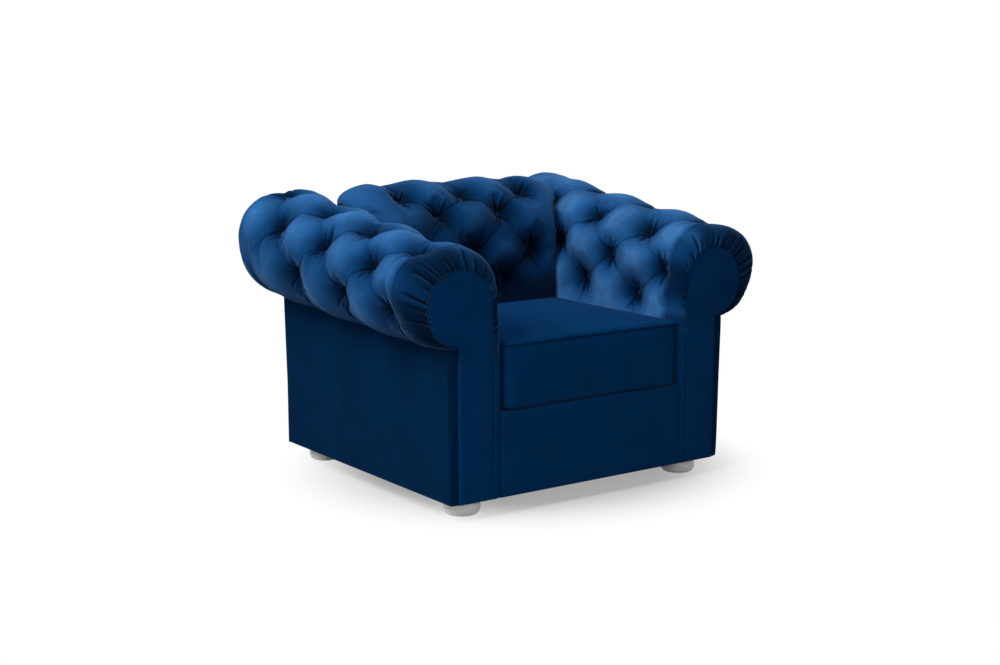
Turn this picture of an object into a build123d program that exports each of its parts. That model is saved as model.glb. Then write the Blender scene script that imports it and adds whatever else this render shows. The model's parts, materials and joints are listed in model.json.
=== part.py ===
from build123d import *
from itertools import pairwise
from math import acos, asin, atan, cos, degrees, radians, sin
import os

os.makedirs("parts", exist_ok=True)

# Overall sizes in millimetres: the front faces -Y and the floor is z = 0
base_width = 900
base_depth = 856
seat_width = 582
foot_height = 45
fit_gap = 0.3

# Covers and frame timber
cover_thickness = 8
facing_thickness = 10
board_thickness = 20
rail_thickness = 25
bottom_rail_height = 90
seat_rail_height = 62
core_thickness = 4
tack_rail_height = 30
tack_rail_top = 400
top_rail_width = 50
top_rail_height = 30
top_rail_drop = 15
hem_rail_height = 38
hem_overlap = 10
stretcher_width = 40

# Rolled arms, which rise and swell from the front to the rear
roll_top_front = 695
roll_top_rear = 785
roll_half_width_front = 142
roll_half_width_rear = 154
hem_height_front = 440
hem_height_rear = 487
core_half_width_front = 94
core_half_width_rear = 104
core_flats = 12
padding_inner = 44
padding_top = 58
padding_hem_front = 9
padding_hem_rear = 32

# Arm facings and the plain strips beside them
facing_head_radius = 98
facing_top = 640
inner_strip = 31
outer_strip = 23
strip_seam = 0.3

# Back: a padded roll that stands between the arms
back_face = 115
back_top = 800
back_roll_radius = 150
back_padding = 45
back_hem_drop = 14
back_end_gap = 4
back_rail_height = 70
back_foot_rise = 120

# Tufting: buttons on a diamond lattice, alternate rows half a pitch apart
arm_tuft_repeats = 3
arm_tuft_front_margin = 83
arm_tuft_rear_margin = 65
arm_face_row_drop = 90
arm_row_turn = 48.5
arm_hem_turn = 64.7
back_tuft_repeats = 2
back_tuft_margin = 79
back_face_row_drop = 50
back_face_row_step = 100
back_first_row_turn = 20
back_row_turn = 38
tuft_depth = 0.62
pleat_fullness = 0.5
slope_fullness = 0.72
edge_fullness = 0.85
button_diameter = 22
button_crown_diameter = 14
button_sides = 10
button_height = 6
button_sink = 5
pocket_reach = 45
end_round = ((0, 0.80), (9, 0.42), (29, 0.12))
hem_end_share = 0.5
end_gather = 0.25

# Seat
cushion_bottom = 270
cushion_edge_top = 444
cushion_crown = 25
cushion_clearance = 1
cushion_corner = 24
corner_flats = 3
cushion_draw = 4
cushion_edge_round = 10
crown_levels = ((0.55, 45), (0.88, 110), (1, 180))
deck_thickness = 6.7
webbing_width = 50
webbing_thickness = 2.5
webbing_long_count = 5
webbing_long_pitch = 105
webbing_cross_count = 4
webbing_cross_pitch = 110
apron_gap = 2

# Feet and their fixings
foot_diameter = 96
foot_sole = 66
foot_neck = 78
foot_neck_height = 6
belly_flats = 3
foot_sides = 24
foot_plate = 98
plate_thickness = 20
corner_block_leg = 42
corner_block_height = 70
bolt_diameter = 8
bolt_hole_gap = 0.15
bolt_depth = 25
bolt_stick_out = 14
nut_across_flats = 13
nut_height = 6.5
dust_cover_thickness = 1.2
dust_cover_inset = 12
foot_cutout_gap = 2

# Planes and faces that the pieces share
half_width = base_width / 2
half_seat = seat_width / 2
front_y = -base_depth / 2
rear_y = base_depth / 2
frame_front = front_y + facing_thickness
frame_rear = rear_y - cover_thickness
frame_side = half_width - cover_thickness
frame_inner = half_seat + cover_thickness
front_board_back = frame_front + board_thickness
rear_board_front = frame_rear - board_thickness
frame_bottom = foot_height
deck_top = cushion_bottom - fit_gap
deck_bottom = deck_top - deck_thickness
cross_rail_top = deck_bottom - webbing_thickness
seat_rail_top = cross_rail_top - webbing_thickness
back_core_face = back_face + back_padding
back_board_face = back_core_face + core_thickness + fit_gap
back_half_width = half_seat - back_end_gap
back_board_outer = back_half_width - cover_thickness
back_board_inner = back_board_outer - board_thickness
cushion_half = half_seat - cushion_clearance
cushion_rear = back_face - cushion_clearance
foot_x = frame_side - rail_thickness - foot_plate / 2
foot_front = front_board_back + foot_plate / 2
foot_rear = rear_board_front - foot_plate / 2
foot_places = [(x, y) for x in (-foot_x, foot_x) for y in (foot_front, foot_rear)]
sides = (("left", -1), ("right", 1))


def save(builder, node):
    builder.part.label = node
    export_step(builder.part, f"parts/{node}.step")


def block(low, high):
    # A squared timber between two opposite corners
    size = [b - a for a, b in zip(low, high)]
    with Locations(tuple((a + b) / 2 for a, b in zip(low, high))):
        Box(*size)


def side_block(sign, low, high):
    # The same timber on the right arm or, mirrored, on the left arm
    xs = sorted((sign * low[0], sign * high[0]))
    block((xs[0], *low[1:]), (xs[1], *high[1:]))


def along(front_value, rear_value, y):
    return front_value + (rear_value - front_value) * (y - front_y) / base_depth


def cross_plane(y):
    # Plane square to the arms at depth y, with X and Z as its own axes
    return Plane.XZ.offset(-y)


def on_circle(centre, radius, angle):
    return centre[0] + radius * cos(radians(angle)), centre[1] + radius * sin(radians(angle))


def mirrored(points, sign):
    return [(sign * u, v) for u, v in points]


def blend(outer, inner, share):
    return tuple(o + (i - o) * share for o, i in zip(outer, inner))


def with_middles(stops):
    middles = [(a + b) / 2 for a, b in zip(stops, stops[1:])]
    return [mark for pair in zip(stops, middles) for mark in pair] + stops[-1:]


def roll_point(mark, centre, half_u, half_v):
    # A mark up to 180 is an angle on the roll, and past 180 it is millimetres down the flat face
    if mark > 180:
        return centre[0] - half_u, centre[1] - (mark - 180)
    return centre[0] + half_u * cos(radians(mark)), centre[1] + half_v * sin(radians(mark))


def is_button(row, column):
    return (column - 2 * (row % 2)) % 4 == 0


def fullness(step, column, last_step):
    # 1 on the crown of a tuft and 0 at a button, for half row steps and quarter pitch columns
    row, odd = divmod(step, 2)
    if step in (0, last_step):
        return edge_fullness
    if step in (1, last_step - 1):
        nearest_row = 1 if step == 1 else last_step // 2 - 1
        return pleat_fullness if is_button(nearest_row, column) else edge_fullness
    if odd:
        return pleat_fullness if column % 2 else slope_fullness
    return (0, slope_fullness, 1, slope_fullness)[(column - 2 * (row % 2)) % 4]


def pad_pulls(last_step, share, column):
    # How far each point is drawn from the crown to the core, by its tufts and by the rounded end of the pad
    pulls = []
    for step in range(last_step + 1):
        tuft = tuft_depth * (1 - fullness(step, column, last_step))
        drawn = share * hem_end_share if step >= last_step - 1 else share
        pulls.append(tuft if share == 0 else drawn + (1 - drawn) * end_gather * tuft)
    return pulls


def pad_stations(first, last, first_margin, last_margin, repeats):
    # Place of each section along a pad, how far its end is drawn in, and its tuft column
    pitch = (last - first - first_margin - last_margin) / repeats
    near = [(first + inset, share, -1) for inset, share in end_round]
    middle = [(first + first_margin + n * pitch / 4, 0, n) for n in range(4 * repeats + 1)]
    far = [(last - inset, share, -1) for inset, share in reversed(end_round)]
    return near + middle + far


def arm_roll(y):
    # Centre and half sizes of the padded roll, measured over the crowns of its tufts
    half_x = along(roll_half_width_front, roll_half_width_rear, y)
    top = along(roll_top_front, roll_top_rear, y)
    hem = along(hem_height_front, hem_height_rear, y)
    return (half_seat + half_x, (top + hem) / 2), half_x, (top - hem) / 2


def arm_scroll(y, growth=0):
    # Centre and half sizes of the bent board inside the arm, or of an outline that runs beside it
    half_x = along(core_half_width_front, core_half_width_rear, y)
    top = along(roll_top_front, roll_top_rear, y) - padding_top
    bottom = along(hem_height_front + padding_hem_front, hem_height_rear + padding_hem_rear, y)
    centre = (half_seat + padding_inner + half_x, (top + bottom) / 2)
    return centre, half_x + growth, (top - bottom) / 2 + growth


def arm_hem_angle(y, growth, hem_x):
    centre, half_x, _ = arm_scroll(y, growth)
    return -degrees(acos((hem_x - centre[0]) / half_x))


def arm_rows():
    turned = [180 - n * arm_row_turn for n in range(5)]
    return [180 + arm_face_row_drop] + turned


def arm_pair(y, mark):
    # Point over the crowns and point on the core of an arm
    crown = roll_point(mark, *arm_roll(y))
    core = roll_point(mark, *arm_scroll(y, fit_gap))
    return crown, (core[0], crown[1]) if mark > 180 else core


back_centre = (back_face + back_roll_radius, back_top - back_roll_radius)
back_core_radius = back_roll_radius - back_padding


def back_rows():
    face = [180 + back_face_row_drop + back_face_row_step, 180 + back_face_row_drop]
    return face + [180 - back_first_row_turn - n * back_row_turn for n in range(4)]


def back_pair(mark):
    reach = back_core_radius + fit_gap
    return [roll_point(mark, back_centre, radius, radius) for radius in (back_roll_radius, reach)]


def back_hem_angle(radius):
    return -degrees(asin(back_hem_drop / radius))


def core_points(centre, half_u, half_v, end_angle, bottom):
    # Flats from the hem over the roll to the inner face, then the straight run down to the seat
    turns = [end_angle + (180 - end_angle) * n / core_flats for n in range(core_flats + 1)]
    return [roll_point(turn, centre, half_u, half_v) for turn in turns] + [(centre[0] - half_u, bottom)]


def arm_core_points(y, growth, hem_x, bottom):
    return core_points(*arm_scroll(y, growth), arm_hem_angle(y, growth, hem_x), bottom)


def back_core_points(radius, bottom):
    return core_points(back_centre, radius, radius, back_hem_angle(radius), bottom)


def arm_board_points(y):
    # Arm board: a scroll head that lies inside the bent board, and a stem and a wide foot below it
    end_angle = arm_hem_angle(y, -core_thickness, half_width)
    head = core_points(*arm_scroll(y, -core_thickness - fit_gap), end_angle, tack_rail_top)
    foot = [(frame_inner, tack_rail_top), (frame_inner, frame_bottom), (frame_side, frame_bottom)]
    return head + foot + [(frame_side, head[0][1])]


def pad_outline(marks, pair, hem_pair, share, column):
    # Outer points of a pad from the seat to the hem, and how far each is drawn to the core
    marks = with_middles(marks)
    pulls = pad_pulls(len(marks) - 1, share, column)
    pairs = [pair(mark) for mark in marks[:-1]] + [hem_pair]
    return [blend(*ends, pull) for ends, pull in zip(pairs, pulls)], pulls


def arm_section(y, share, column, sign):
    hem_x = half_width + fit_gap
    core = arm_core_points(y, fit_gap, hem_x, pad_bottom)
    hem_pair = ((hem_x, along(hem_height_front, hem_height_rear, y)), core[0])
    rows = arm_rows()
    marks = [180 + arm_roll(y)[0][1] - pad_bottom, *rows, rows[-1] - arm_hem_turn]
    outline, pulls = pad_outline(marks, lambda mark: arm_pair(y, mark), hem_pair, share, column)
    outer, inner = [[(sign * u, y, v) for u, v in points] for points in (outline, core)]
    return outer, pulls, inner


def back_section(x, share, column):
    core = back_core_points(back_core_radius + fit_gap, pad_bottom)
    hem_mark = back_hem_angle(back_roll_radius)
    marks = [180 + back_centre[1] - pad_bottom, *back_rows(), hem_mark]
    hem_pair = (back_pair(hem_mark)[0], core[0])
    outline, pulls = pad_outline(marks, back_pair, hem_pair, share, column)
    return [(x, u, v) for u, v in outline], pulls, [(x, u, v) for u, v in core]


def facet(*corners):
    return Face(Wire.make_polygon(corners))


def halves(a, b, c, d, crease_ac=True):
    # Two flat triangles for a patch that is twisted
    threes = ((a, b, c), (a, c, d)) if crease_ac else ((a, b, d), (b, c, d))
    return [facet(*three) for three in threes]


def tufted_solid(sections):
    # Flat facets creased along the pleats, closed by two ends, the seat edge, the hem and the core side
    outlines, pulls, cores = zip(*sections)
    faces = [facet(*outlines[end], *cores[end]) for end in (0, -1)]
    for edge, core_edge in ((0, -1), (-1, 0)):
        rim = [outline[edge] for outline in outlines]
        faces.append(facet(*rim, cores[-1][core_edge], cores[0][core_edge]))
    for patch in zip(cores[0], cores[0][1:], cores[-1][1:], cores[-1]):
        faces += halves(*patch)
    for (near, near_pull), (far, far_pull) in pairwise(zip(outlines, pulls)):
        for k in range(len(near) - 1):
            crease = near_pull[k] + far_pull[k + 1] > near_pull[k + 1] + far_pull[k]
            faces += halves(near[k], near[k + 1], far[k + 1], far[k], crease)
    return Solid(Shell(faces))


def stacked_solid(rings):
    # Flat facets from each ring of points to the next, closed by the first and the last
    faces = [facet(*rings[end]) for end in (0, -1)]
    for low, high in pairwise(rings):
        for k in range(len(low)):
            faces += halves(low[k - 1], low[k], high[k], high[k - 1])
    return Solid(Shell(faces))


def button_planes(pairs):
    # Planes at the bottom of each tuft, facing out of the pad
    planes = []
    for crown, core in pairs:
        seat = Vector(*blend(crown, core, tuft_depth))
        out = (Vector(*crown) - Vector(*core)).normalized()
        planes.append(Plane(seat - out * button_sink, z_dir=out))
    return planes


def arm_button_planes(sign):
    # The back hides the end of the two rows on the inner face, so those tufts have no button
    pairs = []
    for row, mark in enumerate(arm_rows(), start=1):
        for y, _, column in arm_stations:
            hidden = row <= 2 and y > back_face - button_diameter
            if is_button(row, column) and not hidden:
                pairs.append([(sign * u, y, v) for u, v in arm_pair(y, mark)])
    return button_planes(pairs)


def back_button_planes():
    pairs = []
    for row, mark in enumerate(back_rows(), start=1):
        for x, _, column in back_stations:
            if is_button(row, column):
                pairs.append([(x, u, v) for u, v in back_pair(mark)])
    return button_planes(pairs)


pad_bottom = tack_rail_top + fit_gap
pocket_radius = button_diameter / 2 + fit_gap
button_taper = degrees(atan((button_diameter - button_crown_diameter) / 2 / button_height))
arm_stations = pad_stations(
    frame_front + fit_gap,
    frame_rear - fit_gap,
    arm_tuft_front_margin,
    arm_tuft_rear_margin,
    arm_tuft_repeats,
)
back_stations = pad_stations(
    -back_half_width, back_half_width, back_tuft_margin, back_tuft_margin, back_tuft_repeats
)

# Arms
for side, sign in sides:
    # The boards are bevelled to the slope of the arm
    board_faces = (("front", frame_front, front_board_back), ("rear", rear_board_front, frame_rear))
    for end, first_face, second_face in board_faces:
        with BuildPart() as arm_board:
            for y in (first_face, second_face):
                with BuildSketch(cross_plane(y)):
                    with BuildLine():
                        Polyline(*mirrored(arm_board_points(y), sign), close=True)
                    make_face()
            loft(ruled=True)
        save(arm_board, f"arm_{end}_board_{side}")

    with BuildPart() as bottom_rail:
        low = (frame_side - rail_thickness, front_board_back, frame_bottom)
        side_block(sign, low, (frame_side, rear_board_front, frame_bottom + bottom_rail_height))
    save(bottom_rail, f"side_bottom_rail_{side}")

    with BuildPart() as seat_rail:
        low = (frame_inner, front_board_back, cross_rail_top - seat_rail_height)
        side_block(sign, low, (frame_inner + rail_thickness, rear_board_front, cross_rail_top))
    save(seat_rail, f"side_seat_rail_{side}")

    with BuildPart() as tack_rail:
        low = (frame_inner, front_board_back, tack_rail_top - tack_rail_height)
        high = (half_seat + padding_inner + core_thickness + rail_thickness, rear_board_front, tack_rail_top)
        side_block(sign, low, high)
    save(tack_rail, f"arm_tack_rail_{side}")

    with BuildPart() as top_rail:
        for y in (front_board_back, rear_board_front):
            (scroll_x, scroll_z), _, half_z = arm_scroll(y)
            middle = scroll_z + half_z - top_rail_drop - top_rail_height / 2
            with BuildSketch(cross_plane(y)):
                with Locations((sign * scroll_x, middle)):
                    Rectangle(top_rail_width, top_rail_height)
        loft(ruled=True)
    save(top_rail, f"arm_top_rail_{side}")

    with BuildPart() as hem_rail:
        for y in (front_board_back, rear_board_front):
            middle = along(hem_height_front, hem_height_rear, y) + hem_overlap - hem_rail_height / 2
            with BuildSketch(cross_plane(y)):
                with Locations((sign * (frame_side - rail_thickness / 2), middle)):
                    Rectangle(rail_thickness, hem_rail_height)
        loft(ruled=True)
    save(hem_rail, f"arm_hem_rail_{side}")

    with BuildPart() as arm_core:
        for y in (frame_front, frame_rear):
            outer = arm_core_points(y, 0, half_width, pad_bottom)
            inner = arm_core_points(y, -core_thickness, half_width, pad_bottom)
            with BuildSketch(cross_plane(y)):
                with BuildLine():
                    Polyline(*mirrored(outer + inner[::-1], sign), close=True)
                make_face()
        loft(ruled=True)
    save(arm_core, f"arm_core_{side}")

    planes = arm_button_planes(sign)
    with BuildPart() as arm_pad:
        add(tufted_solid([arm_section(*station, sign) for station in arm_stations]))
        with BuildSketch(*planes):
            RegularPolygon(pocket_radius, button_sides)
        extrude(amount=pocket_reach, mode=Mode.SUBTRACT)
    save(arm_pad, f"arm_pad_{side}")

    with BuildPart() as arm_buttons:
        with BuildSketch(*planes):
            RegularPolygon(button_diameter / 2, button_sides)
        extrude(amount=button_height, taper=button_taper)
    save(arm_buttons, f"arm_buttons_{side}")

    stem_inner = half_seat + inner_strip
    stem_outer = half_width - outer_strip
    head_x = stem_inner + facing_head_radius
    head_z = facing_top - facing_head_radius
    with BuildPart() as facing:
        with BuildSketch(cross_plane(frame_front)):
            with Locations((sign * head_x, head_z)):
                Circle(facing_head_radius)
            with Locations((sign * (stem_inner + stem_outer) / 2, (frame_bottom + head_z) / 2)):
                Rectangle(stem_outer - stem_inner, head_z - frame_bottom)
        extrude(amount=facing_thickness)
    save(facing, f"arm_facing_{side}")

    with BuildPart() as outside_panel:
        hems = [(y, along(hem_height_front, hem_height_rear, y)) for y in (frame_rear, frame_front)]
        top_edge = [(y, hem + hem_overlap) for y, hem in hems]
        with BuildSketch(Plane.YZ.offset(sign * half_width)):
            with BuildLine():
                Polyline((frame_front, frame_bottom), (frame_rear, frame_bottom), *top_edge, close=True)
            make_face()
        extrude(amount=-sign * cover_thickness)
        low = (stem_outer + strip_seam, front_y, frame_bottom)
        side_block(sign, low, (half_width, frame_front, hem_height_front))
    save(outside_panel, f"outside_arm_panel_{side}")

    with BuildPart() as inside_panel:
        low = (half_seat, frame_front, deck_top + fit_gap)
        side_block(sign, low, (frame_inner, cushion_rear, tack_rail_top))
        side_block(sign, (half_seat, front_y, frame_bottom), (stem_inner - strip_seam, frame_front, head_z))
    save(inside_panel, f"inside_arm_panel_{side}")

# Base frame between the arms
with BuildPart() as front_bottom_rail:
    low = (-frame_inner, frame_front, frame_bottom)
    block(low, (frame_inner, frame_front + rail_thickness, frame_bottom + bottom_rail_height))
save(front_bottom_rail, "front_bottom_rail")

with BuildPart() as rear_bottom_rail:
    low = (-frame_inner, frame_rear - rail_thickness, frame_bottom)
    block(low, (frame_inner, frame_rear, frame_bottom + bottom_rail_height))
save(rear_bottom_rail, "rear_bottom_rail")

with BuildPart() as stretcher:
    low = (-stretcher_width / 2, frame_front + rail_thickness, frame_bottom)
    high = (stretcher_width / 2, frame_rear - rail_thickness, frame_bottom + bottom_rail_height)
    block(low, high)
save(stretcher, "centre_stretcher")

with BuildPart() as front_seat_rail:
    low = (-frame_inner, frame_front, seat_rail_top - seat_rail_height)
    block(low, (frame_inner, frame_front + rail_thickness, seat_rail_top))
save(front_seat_rail, "front_seat_rail")

with BuildPart() as rear_seat_rail:
    low = (-frame_inner, back_board_face, seat_rail_top - seat_rail_height)
    block(low, (frame_inner, back_board_face + rail_thickness, seat_rail_top))
save(rear_seat_rail, "rear_seat_rail")

with BuildPart() as foot_plates:
    with Locations(*[(x, y, frame_bottom) for x, y in foot_places]):
        Box(foot_plate, foot_plate, plate_thickness, align=(Align.CENTER, Align.CENTER, Align.MIN))
        Hole(bolt_diameter / 2 + bolt_hole_gap)
save(foot_plates, "foot_plates")

with BuildPart() as corner_blocks:
    block_bottom = frame_bottom + plate_thickness
    corner_x = frame_side - rail_thickness
    with BuildSketch(Plane.XY.offset(block_bottom)):
        for x_sign in (-1, 1):
            for y, inward in ((front_board_back, 1), (rear_board_front, -1)):
                corner = (x_sign * corner_x, y)
                with BuildLine():
                    Polyline(
                        corner,
                        (x_sign * (corner_x - corner_block_leg), y),
                        (x_sign * corner_x, y + inward * corner_block_leg),
                        close=True,
                    )
                make_face()
    extrude(amount=corner_block_height)
save(corner_blocks, "corner_blocks")

# Back
with BuildPart() as back_rear_rail:
    low = (-back_half_width, frame_rear - rail_thickness, back_centre[1] - back_hem_drop - back_rail_height)
    block(low, (back_half_width, frame_rear, back_centre[1] - back_hem_drop - fit_gap))
save(back_rear_rail, "back_rear_rail")

with BuildPart() as back_tack_rail:
    low = (-frame_inner, back_face + cover_thickness, tack_rail_top - tack_rail_height)
    block(low, (frame_inner, back_board_face, tack_rail_top))
save(back_tack_rail, "back_tack_rail")

with BuildPart() as back_top_rail:
    low_z = back_top - back_padding - core_thickness - top_rail_drop - top_rail_height
    low = (-back_board_inner, back_centre[0] - top_rail_width / 2, low_z)
    high = (back_board_inner, back_centre[0] + top_rail_width / 2, low_z + top_rail_height)
    block(low, high)
save(back_top_rail, "back_top_rail")

for side, sign in sides:
    head = back_core_points(back_core_radius - core_thickness - fit_gap, seat_rail_top)
    rail_face = frame_rear - rail_thickness
    rail_high = back_centre[1] - back_hem_drop
    stem = [
        (back_board_face + rail_thickness, seat_rail_top),
        (back_board_face + rail_thickness, seat_rail_top + back_foot_rise),
        (rail_face, rail_high - back_rail_height),
        (rail_face, rail_high),
    ]
    with BuildPart() as back_board:
        with BuildSketch(Plane.YZ.offset(sign * back_board_inner)):
            with BuildLine():
                Polyline(*head, *stem, close=True)
            make_face()
        extrude(amount=sign * board_thickness)
    save(back_board, f"back_board_{side}")

with BuildPart() as back_core:
    outer = back_core_points(back_core_radius, pad_bottom)
    inner = back_core_points(back_core_radius - core_thickness, pad_bottom)
    with BuildSketch(Plane.YZ.offset(-back_board_outer)):
        with BuildLine():
            Polyline(*outer, *inner[::-1], close=True)
        make_face()
    extrude(amount=2 * back_board_outer)
save(back_core, "back_core")

planes = back_button_planes()
with BuildPart() as back_pad:
    add(tufted_solid([back_section(*station) for station in back_stations]))
    with BuildSketch(*planes):
        RegularPolygon(pocket_radius, button_sides)
    extrude(amount=pocket_reach, mode=Mode.SUBTRACT)
save(back_pad, "back_pad")

with BuildPart() as back_buttons:
    with BuildSketch(*planes):
        RegularPolygon(button_diameter / 2, button_sides)
    extrude(amount=button_height, taper=button_taper)
save(back_buttons, "back_buttons")

with BuildPart() as outside_back:
    panel_top = back_centre[1] - back_hem_drop
    with BuildSketch(cross_plane(rear_y)):
        with Locations((0, (frame_bottom + panel_top) / 2)):
            Rectangle(base_width, panel_top - frame_bottom)
        (scroll_x, scroll_z), *half_sizes = arm_scroll(rear_y)
        with Locations((-scroll_x, scroll_z), (scroll_x, scroll_z)):
            Ellipse(*half_sizes)
    extrude(amount=cover_thickness)
save(outside_back, "outside_back_panel")

# Seat
with BuildPart() as webbing:
    long_rear = back_board_face + rail_thickness
    middle_y = (frame_front + long_rear) / 2
    with Locations((0, middle_y, seat_rail_top + webbing_thickness / 2)):
        with GridLocations(webbing_long_pitch, 1, webbing_long_count, 1):
            Box(webbing_width, long_rear - frame_front, webbing_thickness)
save(webbing, "seat_webbing_long")

with BuildPart() as cross_webbing:
    cross_length = 2 * (frame_inner + rail_thickness)
    with Locations((0, middle_y, cross_rail_top + webbing_thickness / 2)):
        with GridLocations(1, webbing_cross_pitch, 1, webbing_cross_count):
            Box(cross_length, webbing_width, webbing_thickness)
save(cross_webbing, "seat_webbing_cross")

with BuildPart() as deck:
    block((-frame_inner, frame_front, deck_bottom), (frame_inner, back_core_face, deck_top))
save(deck, "seat_deck")


def cushion_points(inset):
    # Plan outline with rounded corners, whose sides are drawn in between them in step with their length
    half_x = cushion_half - inset
    half_y = (cushion_rear - front_y) / 2 - inset
    middle_y = (cushion_rear + front_y) / 2
    corner_x = half_x - cushion_corner
    corner_y = half_y - cushion_corner
    draw_x = cushion_draw * corner_y / (corner_y + inset)
    draw_y = cushion_draw * corner_x / (corner_x + inset)
    corners = [(corner_x, -corner_y), (corner_x, corner_y), (-corner_x, corner_y), (-corner_x, -corner_y)]
    sides = [(half_x - draw_x, 0), (0, half_y - draw_y), (draw_x - half_x, 0), (0, draw_y - half_y)]
    points = []
    for quarter, (corner, side) in enumerate(zip(corners, sides)):
        turns = [90 * (quarter - 1 + n / corner_flats) for n in range(corner_flats + 1)]
        points += [on_circle(corner, cushion_corner, turn) for turn in turns] + [side]
    return [(x, y + middle_y) for x, y in points]


# Height of each cushion section, and how far it lies inside the plan outline
cushion_levels = [
    (cushion_bottom, cushion_edge_round / 2),
    (cushion_bottom + cushion_edge_round, 0),
    (cushion_edge_top - cushion_edge_round, 0),
    (cushion_edge_top, cushion_edge_round / 2),
]
cushion_levels += [(cushion_edge_top + cushion_crown * rise, inset) for rise, inset in crown_levels]

with BuildPart() as cushion:
    add(stacked_solid([[(x, y, z) for x, y in cushion_points(inset)] for z, inset in cushion_levels]))
save(cushion, "seat_cushion")

with BuildPart() as apron:
    low = (-half_seat + strip_seam, front_y, frame_bottom)
    block(low, (half_seat - strip_seam, frame_front, cushion_bottom - apron_gap))
save(apron, "front_apron_panel")

# Underside and feet
with BuildPart() as dust_cover:
    half_x = half_width - dust_cover_inset
    low = (-half_x, front_y + dust_cover_inset, frame_bottom - dust_cover_thickness)
    block(low, (half_x, rear_y - dust_cover_inset, frame_bottom))
    with Locations(*[(x, y, frame_bottom) for x, y in foot_places]):
        Hole(foot_neck / 2 + foot_cutout_gap)
save(dust_cover, "dust_cover")

foot_names = [f"foot_{end}_{side}" for side in ("left", "right") for end in ("front", "rear")]


def bun_quarter(inner_diameter, first_turn):
    # Radius and height of the rings round a quarter of the bun foot, below or above its widest one
    belly_z = (foot_height - foot_neck_height) / 2
    centre = (inner_diameter / 2, belly_z)
    reach = (foot_diameter - inner_diameter) / 2
    turns = [first_turn + 90 * n / belly_flats for n in range(belly_flats + 1)]
    return [roll_point(turn, centre, reach, belly_z) for turn in turns]


foot_rings = bun_quarter(foot_sole, -90) + bun_quarter(foot_neck, 0)[1:] + [(foot_neck / 2, foot_height)]
foot_turns = [360 * n / foot_sides for n in range(foot_sides)]
for node, (x, y) in zip(foot_names, foot_places):
    with BuildPart() as foot:
        rings = [[(*on_circle((x, y), radius, turn), z) for turn in foot_turns] for radius, z in foot_rings]
        add(stacked_solid(rings))
        with Locations((x, y, foot_height)):
            Hole(bolt_diameter / 2 + bolt_hole_gap, depth=bolt_depth)
    save(foot, node)

with BuildPart() as foot_bolts:
    with Locations(*[(x, y, foot_height - bolt_depth) for x, y in foot_places]):
        Cylinder(
            bolt_diameter / 2,
            bolt_depth + plate_thickness + bolt_stick_out,
            align=(Align.CENTER, Align.CENTER, Align.MIN),
        )
save(foot_bolts, "foot_bolts")

with BuildPart() as foot_nuts:
    with BuildSketch(Plane.XY.offset(frame_bottom + plate_thickness)):
        with Locations(*foot_places):
            RegularPolygon(nut_across_flats / 2, 6, major_radius=False)
            Circle(bolt_diameter / 2 + bolt_hole_gap, mode=Mode.SUBTRACT)
    extrude(amount=nut_height)
save(foot_nuts, "foot_nuts")
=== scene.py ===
import json
import math

import bmesh
import bpy
import numpy as np
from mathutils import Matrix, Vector
from mathutils.geometry import delaunay_2d_cdt
from mathutils.kdtree import KDTree


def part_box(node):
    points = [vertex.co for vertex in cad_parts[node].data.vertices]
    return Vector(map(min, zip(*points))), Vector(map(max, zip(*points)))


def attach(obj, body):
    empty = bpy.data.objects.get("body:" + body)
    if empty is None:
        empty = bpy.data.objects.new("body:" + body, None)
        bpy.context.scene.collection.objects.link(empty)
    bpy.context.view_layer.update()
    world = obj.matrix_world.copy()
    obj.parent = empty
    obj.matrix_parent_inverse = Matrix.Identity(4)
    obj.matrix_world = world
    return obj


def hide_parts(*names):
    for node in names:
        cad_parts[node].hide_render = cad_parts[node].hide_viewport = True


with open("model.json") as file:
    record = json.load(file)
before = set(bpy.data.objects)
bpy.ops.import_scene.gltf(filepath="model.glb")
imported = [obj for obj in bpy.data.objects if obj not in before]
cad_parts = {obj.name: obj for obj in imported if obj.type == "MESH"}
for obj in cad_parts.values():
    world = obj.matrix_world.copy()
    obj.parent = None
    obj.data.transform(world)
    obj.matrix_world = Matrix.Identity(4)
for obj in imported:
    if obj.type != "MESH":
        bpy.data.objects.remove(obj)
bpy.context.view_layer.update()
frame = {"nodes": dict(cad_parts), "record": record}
nodes = frame["nodes"]
scene = bpy.context.scene
print("frame loaded with", len(nodes), "nodes")


# shared planes of the chair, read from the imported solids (metres, front at -Y)
facingLow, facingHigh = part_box("arm_facing_right")
sideLow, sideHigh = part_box("outside_arm_panel_right")
stripLow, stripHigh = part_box("inside_arm_panel_right")
apronLow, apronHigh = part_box("front_apron_panel")
outBackLow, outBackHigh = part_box("outside_back_panel")
padLow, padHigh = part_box("arm_pad_right")
backLow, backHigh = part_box("back_pad")
seatLow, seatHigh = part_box("seat_cushion")
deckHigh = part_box("seat_deck")[1]
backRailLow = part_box("back_tack_rail")[0]

frontY = facingLow.y
facingBackY = facingHigh.y
rearY = outBackHigh.y
bodyBottom = facingLow.z
halfWidth = sideHigh.x
halfSeat = stripLow.x
headRadius = (facingHigh.x - facingLow.x) / 2
headX = facingLow.x + headRadius
headZ = facingHigh.z - headRadius
stemInner = facingLow.x
stemOuter = sideLow.x
padBottom = padLow.z
sides = (("Left", -1), ("Right", 1))


# camera at the photograph's viewing angle
cameraSetup = dict(place=(-2.596, -3.618, 1.154), yaw=35.69, pitch=9.83, lens=57.53,
                   sensor=36.0, farthest=60)


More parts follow.
